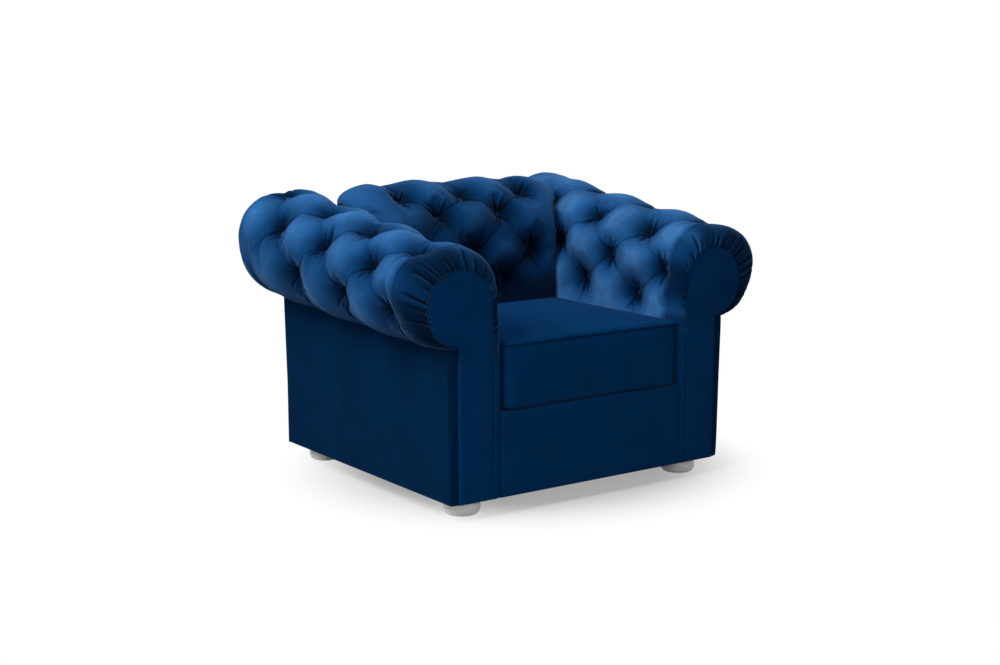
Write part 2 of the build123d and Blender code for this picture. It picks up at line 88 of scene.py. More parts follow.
def makeCamera(setup):
    data = bpy.data.cameras.new("studioCamera")
    data.lens = setup["lens"]
    data.sensor_width = setup["sensor"]
    data.clip_end = setup["farthest"]
    cam = bpy.data.objects.new("studioCamera", data)
    scene.collection.objects.link(cam)
    yaw, pitch = math.radians(setup["yaw"]), math.radians(setup["pitch"])
    forward = Vector((math.sin(yaw) * math.cos(pitch), math.cos(yaw) * math.cos(pitch), -math.sin(pitch)))
    cam.location = setup["place"]
    cam.rotation_euler = forward.to_track_quat("-Z", "Y").to_euler()
    scene.camera = cam


makeCamera(cameraSetup)
print("camera set")


# node helpers: an input is a value, or a socket to link from
def setInputs(tree, node, inputs):
    for key, value in inputs.items():
        if isinstance(value, bpy.types.NodeSocket):
            tree.links.new(value, node.inputs[key])
        else:
            node.inputs[key].default_value = value


def addNode(tree, kind, inputs, **settings):
    node = tree.nodes.new(kind)
    for key, value in settings.items():
        setattr(node, key, value)
    setInputs(tree, node, inputs)
    return node


def newMaterial(name):
    mat = bpy.data.materials.new(name)
    mat.use_nodes = True
    return mat, mat.node_tree, mat.node_tree.nodes["Principled BSDF"]


def mathNode(tree, operation, *values):
    return addNode(tree, "ShaderNodeMath", dict(enumerate(values)), operation=operation).outputs[0]


def noiseNode(tree, coords, scale, detail=3.0, rough=0.55, distortion=0.0):
    inputs = dict(Vector=coords, Scale=scale, Detail=detail, Roughness=rough, Distortion=distortion)
    return addNode(tree, "ShaderNodeTexNoise", inputs).outputs["Fac"]


def rampNode(tree, fac, stops):
    node = addNode(tree, "ShaderNodeValToRGB", dict(Fac=fac))
    ramp = node.color_ramp
    while len(ramp.elements) < len(stops):
        ramp.elements.new(0.5)
    for element, (place, colour) in zip(ramp.elements, stops):
        element.position = place
        element.color = (*colour, 1)
    return node.outputs["Color"]


def bumpNode(tree, height, strength, distance, **normal):
    inputs = dict(Height=height, Strength=strength, Distance=distance, **normal)
    return addNode(tree, "ShaderNodeBump", inputs).outputs["Normal"]


def objectCoords(tree):
    return tree.nodes.new("ShaderNodeTexCoord").outputs["Object"]


# navy velvet: dark pile with a blue sheen, brushed in soft patches
velvetLook = dict(
    mid=(0.0010, 0.030, 0.106), shadeMarks=(0.52, 0.72, 0.95),
    patch=(7.0, 3.0, 0.6, 0.8), brush=(46.0, 4.0, 0.65, 1.4), brushShare=0.45, pileAndPaintedShade=(1500.0, 2.0, 0.6),
    brushBump=(0.10, 0.002), pileBump=(0.22, 0.0006),
    roughness=0.60, sheenRoughness=0.45, sheenTint=(0.22, 0.48, 0.95, 1.0),
    # painted shading: colour levels from painted shade in dimples and pleats to paler painted highlights on
    # the crowns
    napMarks=(0.10, 0.31, 0.52, 0.87, 1.0), napShades=(0.08, 0.24, 0.70, 1.62, 2.05),
    napPale=(2.6, 0.11, 0.0),
)


def velvet(name, look, tone, contrast, sheen, nap=False):
    mat, tree, bsdf = newMaterial(name)
    coords = objectCoords(tree)
    patch, brush, fuzz = (noiseNode(tree, coords, *look[kind]) for kind in ("patch", "brush", "pileAndPaintedShade"))
    blend = mathNode(tree, "MULTIPLY_ADD", brush, look["brushShare"], patch)
    shades = zip(look["shadeMarks"], (1 - contrast, 1.0, 1 + contrast))
    stops = [(mark, [tone * shade * part for part in look["mid"]]) for mark, shade in shades]
    colour = rampNode(tree, blend, stops)
    if nap:
        # painted shade darkens the colour in the tufts and pleats, and painted highlights lighten and pale
        # it on the crowns
        paintedLevel = addNode(tree, "ShaderNodeAttribute", {}, attribute_name="nap").outputs["Fac"]
        steps = [(mark, [shade * (1 + shade ** 2 * pale) for pale in look["napPale"]])
                 for mark, shade in zip(look["napMarks"], look["napShades"])]
        mixed = {0: colour, 1: rampNode(tree, paintedLevel, steps)}
        colour = addNode(tree, "ShaderNodeVectorMath", mixed, operation="MULTIPLY").outputs["Vector"]
    brushed = bumpNode(tree, brush, *look["brushBump"])
    setInputs(tree, bsdf, {
        "Base Color": colour,
        "Normal": bumpNode(tree, fuzz, *look["pileBump"], Normal=brushed),
        "Roughness": look["roughness"],
        "Specular IOR Level": 0.0,
        "Sheen Weight": sheen,
        "Sheen Roughness": look["sheenRoughness"],
        "Sheen Tint": look["sheenTint"],
    })
    return mat


# the tufted copy is painted lighter and the side copy painted darker than the plain velvet, as painted light
# and painted shade
tuftedVelvet = velvet("tuftedVelvet", velvetLook, tone=1.50, contrast=0.20, sheen=0.26, nap=True)
smoothVelvet = velvet("smoothVelvet", velvetLook, tone=1.00, contrast=0.12, sheen=0.06)
sideVelvetPaintedShade = velvet("sideVelvetPaintedShade", velvetLook, tone=0.52, contrast=0.12, sheen=0.06)
buttonVelvet = velvet("buttonVelvet", velvetLook, tone=0.60, contrast=0.15, sheen=0.3)
print("velvets made")


# mesh helpers
def meshObject(name, verts, faces, material):
    mesh = bpy.data.meshes.new(name)
    mesh.from_pydata([tuple(v) for v in verts], [], [tuple(f) for f in faces])
    mesh.validate()
    obj = bpy.data.objects.new(name, mesh)
    scene.collection.objects.link(obj)
    mesh.materials.append(material)
    bm = bmesh.new()
    bm.from_mesh(mesh)
    bmesh.ops.recalc_face_normals(bm, faces=bm.faces)
    bm.to_mesh(mesh)
    bm.free()
    mesh.polygons.foreach_set("use_smooth", [True] * len(mesh.polygons))
    mesh.update()
    return obj


def meshPoints(mesh):
    points = np.empty(len(mesh.vertices) * 3)
    mesh.vertices.foreach_get("co", points)
    return points.reshape(-1, 3)


def dressed(obj, body, slot, *replaced):
    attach(obj, body)
    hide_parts(*replaced)


def smoothStep(low, high, value):
    t = np.clip((value - low) / (high - low), 0, 1)
    return t * t * (3 - 2 * t)


def gridFaces(rows, columns):
    # quads of a rows by columns grid of points
    i, j = np.meshgrid(np.arange(rows - 1), np.arange(columns - 1), indexing="ij")
    a = i * columns + j
    return np.stack([a, a + 1, a + columns + 1, a + columns], -1).reshape(-1, 4).tolist()


def ringFaces(rings, around, start=0):
    # quads between closed rings of points
    faces = []
    for k in range(start, start + (rings - 1) * around, around):
        for i in range(around):
            a, b = k + i, k + (i + 1) % around
            faces.append((a, b, b + around, a + around))
    return faces


def fanFaces(start, around, tip):
    return [(start + i, start + (i + 1) % around, tip) for i in range(around)]


# cloth helpers: a trial mesh settles under pressure, and its movement is used
def runCloth(obj, weights, look):
    group = obj.vertex_groups.new(name="held")
    for k, weight in enumerate(weights):
        if weight > 0.02:
            group.add([k], float(weight), "REPLACE")
    cloth = obj.modifiers.new("cloth", "CLOTH")
    ways = cloth.settings
    ways.quality = 5
    ways.mass = 0.3
    ways.tension_stiffness = ways.compression_stiffness = look["tension"]
    ways.shear_stiffness = look["shear"]
    ways.bending_stiffness = look["bend"]
    ways.shrink_min = look["slack"]
    ways.use_pressure = True
    ways.uniform_pressure_force = look["pressure"]
    ways.vertex_group_mass = "held"
    ways.effector_weights.gravity = 0
    cloth.collision_settings.use_collision = False
    cloth.point_cache.frame_start, cloth.point_cache.frame_end = 1, look["frames"]
    for number in range(1, look["frames"] + 1):
        scene.frame_set(number)
    moved = meshPoints(obj.evaluated_get(bpy.context.evaluated_depsgraph_get()).data)
    scene.frame_set(1)
    mesh = obj.data
    bpy.data.objects.remove(obj)
    bpy.data.meshes.remove(mesh)
    return moved


def cappedMove(label, move, cap):
    size = np.linalg.norm(move, axis=-1, keepdims=True)
    print(label, "settled by up to", round(float(size.max()) * 1000, 1), "mm")
    return move * np.minimum(1, cap / np.maximum(size, 1e-9))


# deep-buttoned arms and back: pairs are (front, rear), marks are degrees round a roll from its outer side,
# and past 180 they are millimetres down its flat face; weak buttons are held less, by (column, row)
armRoll = dict(
    top=(0.695, 0.800), halfWidth=(0.152, 0.162), hem=(0.440, 0.487), hemGap=0.0003,
    paddingMarks=(-90.0, -40.0, 0.0, 90.0, 180.0, 400.0),
    padding=(0.026, 0.048, 0.055, 0.058, 0.046, 0.046),
    rowsFront=(270.0, 180.0, 131.5, 72.0, 33.0, -25.0), rowsRear=(270.0, 180.0, 131.5, 86.0, 34.5, -13.0),
    frontMargin=0.083, rearMargin=0.065, repeats=3, foldTurn=4.0, lowRows=2, lowClear=0.02,
    # painted shade: the gathered border, the lower outer rows and the underside of the roll are painted
    # darker, and the right arm is painted lighter all over
    borderPaintedShade=0.22, outerPaintedShade=0.70, outerRows=(4.5, 6.2), underPaintedShade=0.35, underRows=(6.0, 6.7),
    seed=dict(Left=11, Right=23), paintedLevel=dict(Left=1.0, Right=1.13),
    weak=dict(Left={(3.0, 6.0): 0.2, (3.0, 4.0): 0.6},
              Right={(3.0, 6.0): 0.2, (3.0, 4.0): 0.0, (2.0, 4.0): 0.3, (1.0, 4.0): 0.3, (0.0, 4.0): 0.3}),
)
armCoreSize = dict(half=(0.094, 0.104), hem=(0.009, 0.032), inset=0.044, topDrop=0.058, end=0.006)
backRoll = dict(
    face=0.104, top=0.800, radius=0.155, padding=0.045, hemDrop=0.014, coreDrop=0.005, coreEnd=0.001,
    rowMarks=(312.0, 230.0, 152.0, 122.0), margin=0.079, repeats=2, rowPitch=0.100, foldTurn=6.5,
    endRound=0.026, endDrop=0.054, endThin=0.7, endSide=0.300, press=0.010, faceLift=0.97,
    overMarks=(125.0, 190.0), overRound=0.060, overReach=0.392, seed=37,
    # painted shade: the whole back is painted darker, and darker still towards its lowest rows
    paintedLevel=0.74, lowPaintedShade=0.30, lowPaintedShadeRows=(0.4, 2.0),
)
ring = dict(
    start=0.036, run=0.066, turns=24, inPower=0.9, outPower=0.70,
    frontProud=0.003, rearShy=0.004, rearClear=0.005,
    groove=0.007, grooveFrom=0.86, grooveSeat=0.3, deep=0.0095, seatRun=(0.05, 0.17), seatSink=0.0025,
    hemRun=(0.10, 0.02), hemCalm=0.7, seed=50,
)
seamGather = dict(
    count=26, depth=0.0088, width=0.0042, widen=0.02, reach=(0.020, 0.066), fadeFrom=0.35,
    jitter=(0.15, 0.85),
    # the last value is how much painted shade darkens the gathers
    size=(0.30, 1.0), sizePower=1.4, rearSize=0.4, lean=0.10, lip=0.4, lipAt=1.9, inward=0.4, nap=0.75,
)
facing = dict(corner=0.012, inner=0.028, seam=0.0012, flare=0.022, recess=0.008, tuck=0.007, tuckRim=0.0015)
tuft = dict(
    grain=0.0021, profileSteps=4001, pillow=0.24, pillowPower=1.50,
    button=0.66, buttonReach=0.032, buttonFlat=0.008,
    heldLeast=0.25, heldGain=1.4, calmBelow=0.5, calmReach=0.075, sway=0.006, swayReach=0.030,
    fold=0.15, foldSharp=0.0016, foldSoft=0.0060, foldFade=0.040, foldMid=0.16,
    foldStraight=0.55, straightRun=0.25,
    foldLip=0.040, lipAt=2.6, lipWidth=1.6, foldGap=0.0085, foldSecond=0.45,
    hemFade=0.35, endFade=0.26, edgeFold=0.10, edgeWidth=0.010, edgeRows=(1.6, 2.8),
)
creases = dict(
    depth=0.0070, width=0.0026, widen=0.026, spread=0.084, length=(0.034, 0.080),
    size=(0.40, 1.1), bend=1.6,
    fan=6, fanHalf=0.62, strays=8, strayWays=(-1.571, 0.93, 2.21, -0.93, -2.21), turn=0.12,
    start=(0.006, 0.018), fadeFrom=0.35, lip=0.55, lipAt=1.8, limits=(-0.9, 1.3),
)
# painted shading of the tufted velvet: painted shade in the dimples, towards the pleats, in the creases,
# gathers and border, and painted highlights on the crease and gather lips
pileAndPaintedShade = dict(flat=0.006, reach=0.034, pillow=0.30, fold=0.5, crease=0.55, creaseLip=-0.6,
            borderRun=(0.02, 0.30), gatherLip=-0.4, ringLip=-0.8)
clothLook = dict(grain=0.0055, pressure=3.0, frames=20, tension=10.0, shear=4.0, bend=0.35,
                 slack=-0.02, cap=0.006, pleatPin=0.15, pleatReach=0.006, buttonReach=0.012)


def alongArm(ends, y):
    front, rear = ends
    return front + (rear - front) * (y - frontY) / (rearY - frontY)


def armEllipse(y):
    halfX, top, hem = (alongArm(armRoll[key], y) for key in ("halfWidth", "top", "hem"))
    return halfX, (top - hem) / 2, (top + hem) / 2


def armCrown(y, mark):
    # x, z over the crowns
    halfX, halfZ, middle = armEllipse(y)
    angle = np.radians(np.minimum(mark, 180))
    drop = np.maximum(mark - 180, 0) / 1000
    return halfSeat + halfX + halfX * np.cos(angle), middle + halfZ * np.sin(angle) - drop


def armOutward(y, mark):
    halfX, halfZ, middle = armEllipse(y)
    angle = np.radians(np.minimum(mark, 180))
    nx, nz = np.cos(angle) / halfX, np.sin(angle) / halfZ
    size = np.hypot(nx, nz)
    return nx / size, nz / size


def armCore(y, mark):
    half = alongArm(armCoreSize["half"], y)
    top = alongArm(armRoll["top"], y) - armCoreSize["topDrop"]
    low = alongArm([a + b for a, b in zip(armRoll["hem"], armCoreSize["hem"])], y)
    angle = np.radians(np.minimum(mark, 180))
    x = halfSeat + armCoreSize["inset"] + half + half * np.cos(angle)
    z = (top + low) / 2 + (top - low) / 2 * np.sin(angle)
    return x, np.where(mark > 180, armCrown(y, mark)[1], z)


def armMark(y, row):
    # row 0 is the seat edge, then come the button rows, and the last is the hem
    halfX, halfZ, middle = armEllipse(y)
    low = 180 + (middle - padBottom) * 1000
    hem = -np.degrees(np.arccos((halfWidth + armRoll["hemGap"] - halfSeat - halfX) / halfX))
    back = (y - frontY) / (rearY - frontY)
    marks = [low, *(f + (r - f) * back for f, r in zip(armRoll["rowsFront"], armRoll["rowsRear"])), hem]
    mark = low + 0 * row
    for n, (here, following) in enumerate(zip(marks, marks[1:])):
        mark = np.where(row >= n, here + (following - here) * (row - n), mark)
    return mark


def backCurve(mark, radius):
    # y, z round the rolled top of the back, or down its flat face
    angle = np.radians(np.minimum(mark, 180))
    drop = np.maximum(mark - 180, 0) / 1000
    y = backRoll["face"] + backRoll["radius"] + radius * np.cos(angle)
    z = backRoll["top"] - backRoll["radius"] + radius * np.sin(angle) - drop
    return y, z


def backMark(row):
    low = 180 + (backRoll["top"] - backRoll["radius"] - padBottom) * 1000
    hem = -math.degrees(math.asin(backRoll["hemDrop"] / backRoll["radius"]))
    return np.interp(row, np.arange(len(backRoll["rowMarks"]) + 2), [low, *backRoll["rowMarks"], hem])


def armFace(y, z):
    # x of the arm's inner face at a height, following the roll over its top
    halfX, halfZ, middle = armEllipse(y)
    lift = np.clip((z - middle) / halfZ, 0, backRoll["faceLift"])
    return halfSeat + halfX - halfX * np.sqrt(1 - lift ** 2)


def evenRows(curve, grain, lastRow):
    # row values spaced evenly along the profile, and the length run at each of many fine rows
    fine = np.linspace(0, lastRow, tuft["profileSteps"])
    points = np.stack(curve(fine), -1)
    run = np.concatenate([[0], np.cumsum(np.linalg.norm(np.diff(points, axis=0), axis=1))])
    count = int(run[-1] / grain) + 1
    return dict(rows=np.interp(np.linspace(0, run[-1], count), run, fine), fine=fine, run=run)


def armSheet(grain, paintedLevel, weak):
    # points over the crowns of the right arm, with outward directions and places in the button pattern
    roll = armRoll
    first, last = padLow.y, padHigh.y
    lastRow = len(roll["rowsFront"])
    pitch = (last - first - roll["frontMargin"] - roll["rearMargin"]) / roll["repeats"]

    def profile(rows):
        y = np.full_like(rows, (first + last) / 2)
        return armCrown(y, armMark(y, rows))

    lines = evenRows(profile, grain, lastRow + 1)
    ys = np.linspace(first + ring["start"], last - ring["start"], int((last - first) / grain))
    row, y = np.meshgrid(lines["rows"], ys, indexing="ij")
    mark = armMark(y, row)
    x, z = armCrown(y, mark)
    nx, nz = armOutward(y, mark)
    # painted shade: the lower outer rows and the underside of the roll are painted darker
    outer = (1 - roll["outerPaintedShade"]) * smoothStep(*roll["outerRows"], row)
    under = (roll["outerPaintedShade"] - roll["underPaintedShade"]) * smoothStep(*roll["underRows"], row)
    return dict(
        lines, crown=np.stack([x, y, z], -1), out=np.stack([nx, np.zeros_like(nx), nz], -1),
        thick=np.interp(mark, roll["paddingMarks"], roll["padding"]), row=row, lastRow=lastRow,
        column=(y - first - roll["frontMargin"]) / pitch, length=np.interp(row, lines["fine"], lines["run"]),
        pitch=pitch, rowPitch=lines["run"][-1] / (lastRow + 1), repeats=roll["repeats"],
        foldTurn=roll["foldTurn"],
        paintedLevel=paintedLevel, shade=1 - outer - under, borderPaintedShade=roll["borderPaintedShade"], bordered=True, weak=weak,
    )


def backSheet(grain):
    roll = backRoll
    first, last = backLow.x, backHigh.x
    lastRow = len(roll["rowMarks"])
    pitch = (last - first - 2 * roll["margin"]) / roll["repeats"]
    lines = evenRows(lambda rows: backCurve(backMark(rows), roll["radius"]), grain, lastRow + 1)
    marks = backMark(lines["rows"])
    # the upper rows run on over the arms and settle there
    over = 1 - smoothStep(*roll["overMarks"], marks)
    endRadius = roll["radius"] - roll["endDrop"]
    past = armFace(*backCurve(marks, endRadius)) + roll["press"] - roll["endSide"]
    reach = roll["endSide"] + over * np.clip(past, 0, roll["overReach"] - roll["endSide"])
    shoulder = roll["endSide"] - roll["endRound"] - over * roll["overRound"]
    parts = np.linspace(-1, 1, int(2 * roll["overReach"] / grain) + 1)
    row, part = np.meshgrid(lines["rows"], parts, indexing="ij")
    x = part * reach[:, None]
    end = np.clip((np.abs(x) - shoulder[:, None]) / (reach - shoulder)[:, None], 0, 1)
    mark = backMark(row)
    y, z = backCurve(mark, endRadius + roll["endDrop"] * np.sqrt(1 - end ** 2))
    angle = np.radians(np.minimum(mark, 180))
    return dict(
        lines, crown=np.stack([x, y, z], -1),
        out=np.stack([np.zeros_like(x), np.cos(angle), np.sin(angle)], -1),
        thick=np.full_like(x, roll["padding"]) * (1 - roll["endThin"] * end), row=row, lastRow=lastRow,
        column=(x - first - roll["margin"]) / pitch, length=np.interp(row, lines["fine"], lines["run"]),
        pitch=pitch, rowPitch=roll["rowPitch"], repeats=roll["repeats"], foldTurn=roll["foldTurn"],
        # painted shade: darker towards the low rows of the back
        paintedLevel=roll["paintedLevel"], shade=roll["lowPaintedShade"] + (1 - roll["lowPaintedShade"]) * smoothStep(*roll["lowPaintedShadeRows"], row),
        borderPaintedShade=1.0, bordered=False, weak={},
    )


def buttonSpots(sheet):
    # (column in pitches, row) of each button; odd rows lie half a pitch along
    spots = []
    for row in range(1, sheet["lastRow"] + 1):
        columns = np.arange(sheet["repeats"]) + 0.5 if row % 2 else np.arange(sheet["repeats"] + 1)
        spots += [(float(c), float(row)) for c in columns]
    return spots


def softNoise(u, v, rng, waves=5, low=4.0, high=16.0, fullTurn=6.283):
    # smooth seeded waves, about -1 to 1
    total = np.zeros_like(u)
    for k in range(waves):
        angle, phase, count = rng.uniform(0, fullTurn), rng.uniform(0, fullTurn), rng.uniform(low, high)
        total += np.sin(count * (u * math.cos(angle) + v * math.sin(angle)) * fullTurn + phase)
    return total / math.sqrt(waves)


def creaseLine(aside, width, look):
    # cross-section of a crease with a raised lip on one side
    lip = look["lip"] * np.exp(-((aside - look["lipAt"] * width) / width) ** 2)
    return np.exp(-(aside / width) ** 2) - lip


def pleatDistance(sheet, s, t, straight):
    # distance to the nearest pleat, above 0 on its sharp side
    ds, dt = s - np.round(s), t - np.round(t)
    pitch = sheet["pitch"]
    slope = math.hypot(1 / pitch, 0.5 / sheet["rowPitch"]) * (1 - straight) + straight / pitch
    sharpSide = np.where(sheet["row"] < sheet["foldTurn"], 1, -1)
    return np.where(np.abs(ds) < np.abs(dt), ds, -dt) / slope * sharpSide


def pleatFold(signed, near, straight):
    # how deep the pleat and a second one beside it are, and how high the lip on the sharp side
    sharp = tuft["foldSharp"]
    fold = np.exp(-np.abs(signed) / np.where(signed > 0, sharp, tuft["foldSoft"]))
    lip = np.exp(-((signed - tuft["lipAt"] * sharp) / (tuft["lipWidth"] * sharp)) ** 2)
    close = np.exp(-near / tuft["foldFade"])
    strength = np.maximum(tuft["foldMid"] + (1 - tuft["foldMid"]) * close, tuft["foldStraight"] * straight)
    second = np.exp(-((signed + tuft["foldGap"]) / sharp) ** 2) * close
    return (fold + tuft["foldSecond"] * second) * strength, lip * strength


def buttonRays(du, dv, rng):
    # gathers that fan out from a button, most of them upwards and along the pleats
    # the value is 1 in a crease, and below 0 on its lip
    look = creases
    lines = np.zeros_like(du)
    close = np.hypot(du, dv) < look["spread"]
    u, v = du[close], dv[close]
    width = look["width"] + look["widen"] * np.hypot(u, v)
    total = np.zeros_like(u)
    fan = math.pi / 2 + np.linspace(-look["fanHalf"], look["fanHalf"], look["fan"])
    for way in [*fan, *rng.choice(look["strayWays"], look["strays"])]:
        heading = way + rng.normal(0, look["turn"])
        far = rng.uniform(*look["length"])
        size = rng.uniform(*look["size"])
        along = u * math.cos(heading) + v * math.sin(heading)
        aside = -u * math.sin(heading) + v * math.cos(heading) + look["bend"] * rng.normal() * along ** 2
        fade = smoothStep(*look["start"], along) * (1 - smoothStep(look["fadeFrom"] * far, far, along))
        total += size * creaseLine(aside, width, look) * fade
    lines[close] = np.clip(total, *look["limits"])
    return lines


def tuftDepth(sheet, seed, detail=True):
    # how far each point is drawn in from the crowns, in metres; the sheet also gets its painted shading
    rng = np.random.default_rng(seed)
    pitch, repeats, lastRow = sheet["pitch"], sheet["repeats"], sheet["lastRow"]
    length, across = sheet["length"], sheet["column"] * pitch
    near = np.full_like(length, 9.0)
    funnel, calm = np.zeros_like(length), np.ones_like(length)
    places = []
    for spot in buttonSpots(sheet):
        du, dv = across - spot[0] * pitch, length - np.interp(spot[1], sheet["fine"], sheet["run"])
        reach = np.hypot(du, dv)
        held = sheet["weak"].get(spot, 1.0)
        near = np.minimum(near, reach) if held > tuft["heldLeast"] else near
        rim = np.maximum(reach - tuft["buttonFlat"], 0)
        funnel = np.maximum(funnel, held * np.exp(-rim / tuft["buttonReach"]))
        slack = max(tuft["calmBelow"] - held, 0) / tuft["calmBelow"]
        calm = calm * (1 - slack * np.exp(-(reach / tuft["calmReach"]) ** 2))
        places.append((du, dv, held))
    free = 1 - np.exp(-(near / tuft["swayReach"]) ** 2)
    c = sheet["column"] + free * softNoise(across, length, rng) * tuft["sway"] / pitch
    r = sheet["row"] + free * softNoise(across, length, rng) * tuft["sway"] / sheet["rowPitch"]
    over = np.maximum(np.maximum(-c, c - repeats), 0)
    edgeFold = np.exp(-(np.minimum(np.abs(c), np.abs(c - repeats)) * pitch / tuft["edgeWidth"]) ** 2)
    edge = np.maximum(np.maximum(1 - r, r - lastRow), 0)
    c, r = np.clip(c, 0, repeats), np.clip(r, 1, lastRow)
    s, t = c + r / 2, c - r / 2
    # past the last row the pleats run straight to the edge
    straight = smoothStep(0, tuft["straightRun"], edge)
    signed = pleatDistance(sheet, s, t, straight)
    fold, lip = pleatFold(signed, near, straight)
    pillow = 1 - (np.abs(np.sin(math.pi * s)) * np.abs(np.sin(math.pi * t))) ** tuft["pillowPower"]
    fade = 1 - smoothStep(0, tuft["endFade"], over)
    fade = fade * calm * (1 - (1 - tuft["hemFade"]) * smoothStep(0, 1, edge))
    depth = (tuft["pillow"] * pillow + tuft["fold"] * fold - tuft["foldLip"] * lip) * fade
    depth = depth + tuft["button"] * funnel
    if sheet["bordered"]:
        upper = smoothStep(*tuft["edgeRows"], sheet["row"])
        depth += tuft["edgeFold"] * edgeFold * (1 - pillow * fade) * upper
    crease = np.zeros_like(length)
    if detail:
        for du, dv, held in places:
            strength = min(1.0, held * tuft["heldGain"]) * (held > tuft["heldLeast"])
            crease += buttonRays(du, dv, rng) * strength
    # painted shading: darker on the border, near the buttons, towards the pleats and in the creases, lighter
    # on the crease lips
    border = (1 - sheet["borderPaintedShade"]) * smoothStep(*pileAndPaintedShade["borderRun"], over)
    nap = sheet["paintedLevel"] * sheet["shade"] * (1 - border)
    nap = nap * (1 - np.exp(-np.maximum(near - pileAndPaintedShade["flat"], 0) / pileAndPaintedShade["reach"]))
    nap = nap * (1 - pileAndPaintedShade["pillow"] * pillow * fade) * (1 - pileAndPaintedShade["fold"] * fold * fade)
    nap = nap * (1 - pileAndPaintedShade["crease"] * np.clip(crease, pileAndPaintedShade["creaseLip"], 1))
    sheet.update(near=near, signed=signed, fade=fade, nap=nap)
    return depth * sheet["thick"] + creases["depth"] * crease


def settleCloth(sheet, depth):
    # lets the cover relax on its buttons under a little pressure, and gives how far each point moved
    start = sheet["crown"] - sheet["out"] * depth[..., None]
    mesh = bpy.data.meshes.new("clothTrial")
    mesh.from_pydata(start.reshape(-1, 3).tolist(), [], gridFaces(*depth.shape))
    obj = bpy.data.objects.new("clothTrial", mesh)
    scene.collection.objects.link(obj)
    out = sheet["out"].reshape(-1, 3)
    samples = [mesh.polygons[k] for k in range(0, len(mesh.polygons), 97)]
    if sum(float(np.dot(face.normal, out[face.vertices[0]])) for face in samples) < 0:
        mesh.flip_normals()
    pins = clothLook["pleatPin"] * np.exp(-(sheet["signed"] / clothLook["pleatReach"]) ** 2) * sheet["fade"]
    pins = np.where(sheet["near"] < clothLook["buttonReach"], 1.0, pins)
    pins[[0, -1], :] = 1
    pins[:, [0, -1]] = 1
    moved = runCloth(obj, pins.ravel(), clothLook)
    return cappedMove("cover", moved.reshape(start.shape) - start, clothLook["cap"])


def spreadField(field, rows, columns):
    # coarse field brought to a finer grid
    def along(values, count):
        at = np.linspace(0, len(values) - 1, count)
        low = np.minimum(at.astype(int), len(values) - 2)
        part = (at - low)[:, None, None]
        return values[low] * (1 - part) + values[low + 1] * part

    fine = along(field, rows)
    fine = np.swapaxes(along(np.swapaxes(fine, 0, 1), columns), 0, 1)
    for turn in range(2):
        fine[1:-1] = (fine[:-2] + 2 * fine[1:-1] + fine[2:]) / 4
        fine[:, 1:-1] = (fine[:, :-2] + 2 * fine[:, 1:-1] + fine[:, 2:]) / 4
    return fine


def tuftedCover(sheet, move, seed):
    depth = tuftDepth(sheet, seed)
    return sheet["crown"] - sheet["out"] * depth[..., None] + spreadField(move, *depth.shape)


def closePad(outer, core, name, nap):
    # outer: rows x stations, core: rows x its two ends; both run from the seat edge to the hem
    nRows, nCols = outer.shape[:2]
    verts = np.concatenate([outer.reshape(-1, 3), core.reshape(-1, 3)])
    start, last = nRows * nCols, nCols - 1
    faces = gridFaces(nRows, nCols)
    for i in range(nRows - 1):
        a, b = start + 2 * i, start + 2 * i + 2
        faces.append((a, a + 1, b + 1, b))
        faces.append((i * nCols, (i + 1) * nCols, b, a))
        faces.append((i * nCols + last, (i + 1) * nCols + last, b + 1, a + 1))
    for i in (0, nRows - 1):
        faces.append([i * nCols + j for j in range(nCols)] + [start + 2 * i + 1, start + 2 * i])
    pad = meshObject(name, verts, faces, tuftedVelvet)
    # painted shading of each cover point, read by the tufted velvet's colour; the core points get 0
    paintedLevel = pad.data.attributes.new("nap", "FLOAT", "POINT")
    paintedLevel.data.foreach_set("value", np.concatenate([nap.ravel(), np.zeros(core.size // 3)]))
    return pad


def rimPoint(mark, y, front):
    # point on the edge of the facing, or of the rear cover, beside each point of the roll
    tuck, rear = facing["tuckRim"], armCoreSize["half"][1]
    if front:
        centre, half, inner = (headX, headZ), headRadius - tuck, stemInner + tuck
    else:
        half, inner = rear - tuck, halfSeat + armCoreSize["inset"] + tuck
        centre = (inner + half, outBackHigh.z - rear)
    angle = np.radians(np.minimum(mark, 180))
    crownZ = armCrown(y, mark)[1]
    middle = armCrown(y, np.full_like(mark, 180.0))[1]
    flatZ = padBottom + (centre[1] - padBottom) * (crownZ - padBottom) / (middle - padBottom)
    x = np.where(mark > 180, inner, centre[0] + half * np.cos(angle))
    return x, np.where(mark > 180, flatZ, centre[1] + half * np.sin(angle))


def gatherLines(total, rng, scale):
    # short pleats along the facing seam: place, depth, how far back they run, and lean
    look, lines = seamGather, []
    for k in range(look["count"]):
        spot = total * (k + rng.uniform(*look["jitter"])) / look["count"]
        size = rng.uniform(*look["size"]) ** look["sizePower"] * scale
        lines.append((spot, size, rng.uniform(*look["reach"]), rng.normal(0, look["lean"])))
    return lines


def gatherDepth(lines, lengths, away):
    look = seamGather
    width = look["width"] + look["widen"] * away
    depth = np.zeros(np.broadcast(lengths, away).shape)
    for spot, size, reach, lean in lines:
        line = creaseLine(lengths - spot - lean * away, width, look)
        depth += size * line * (1 - smoothStep(look["fadeFrom"] * reach, reach, away))
    return look["depth"] * depth


# painted shade in the gathers and painted highlights on their lips
def gatherPaintedShade(gather, lip):
    return 1 - seamGather["nap"] * np.clip(gather / seamGather["depth"], lip, 1)


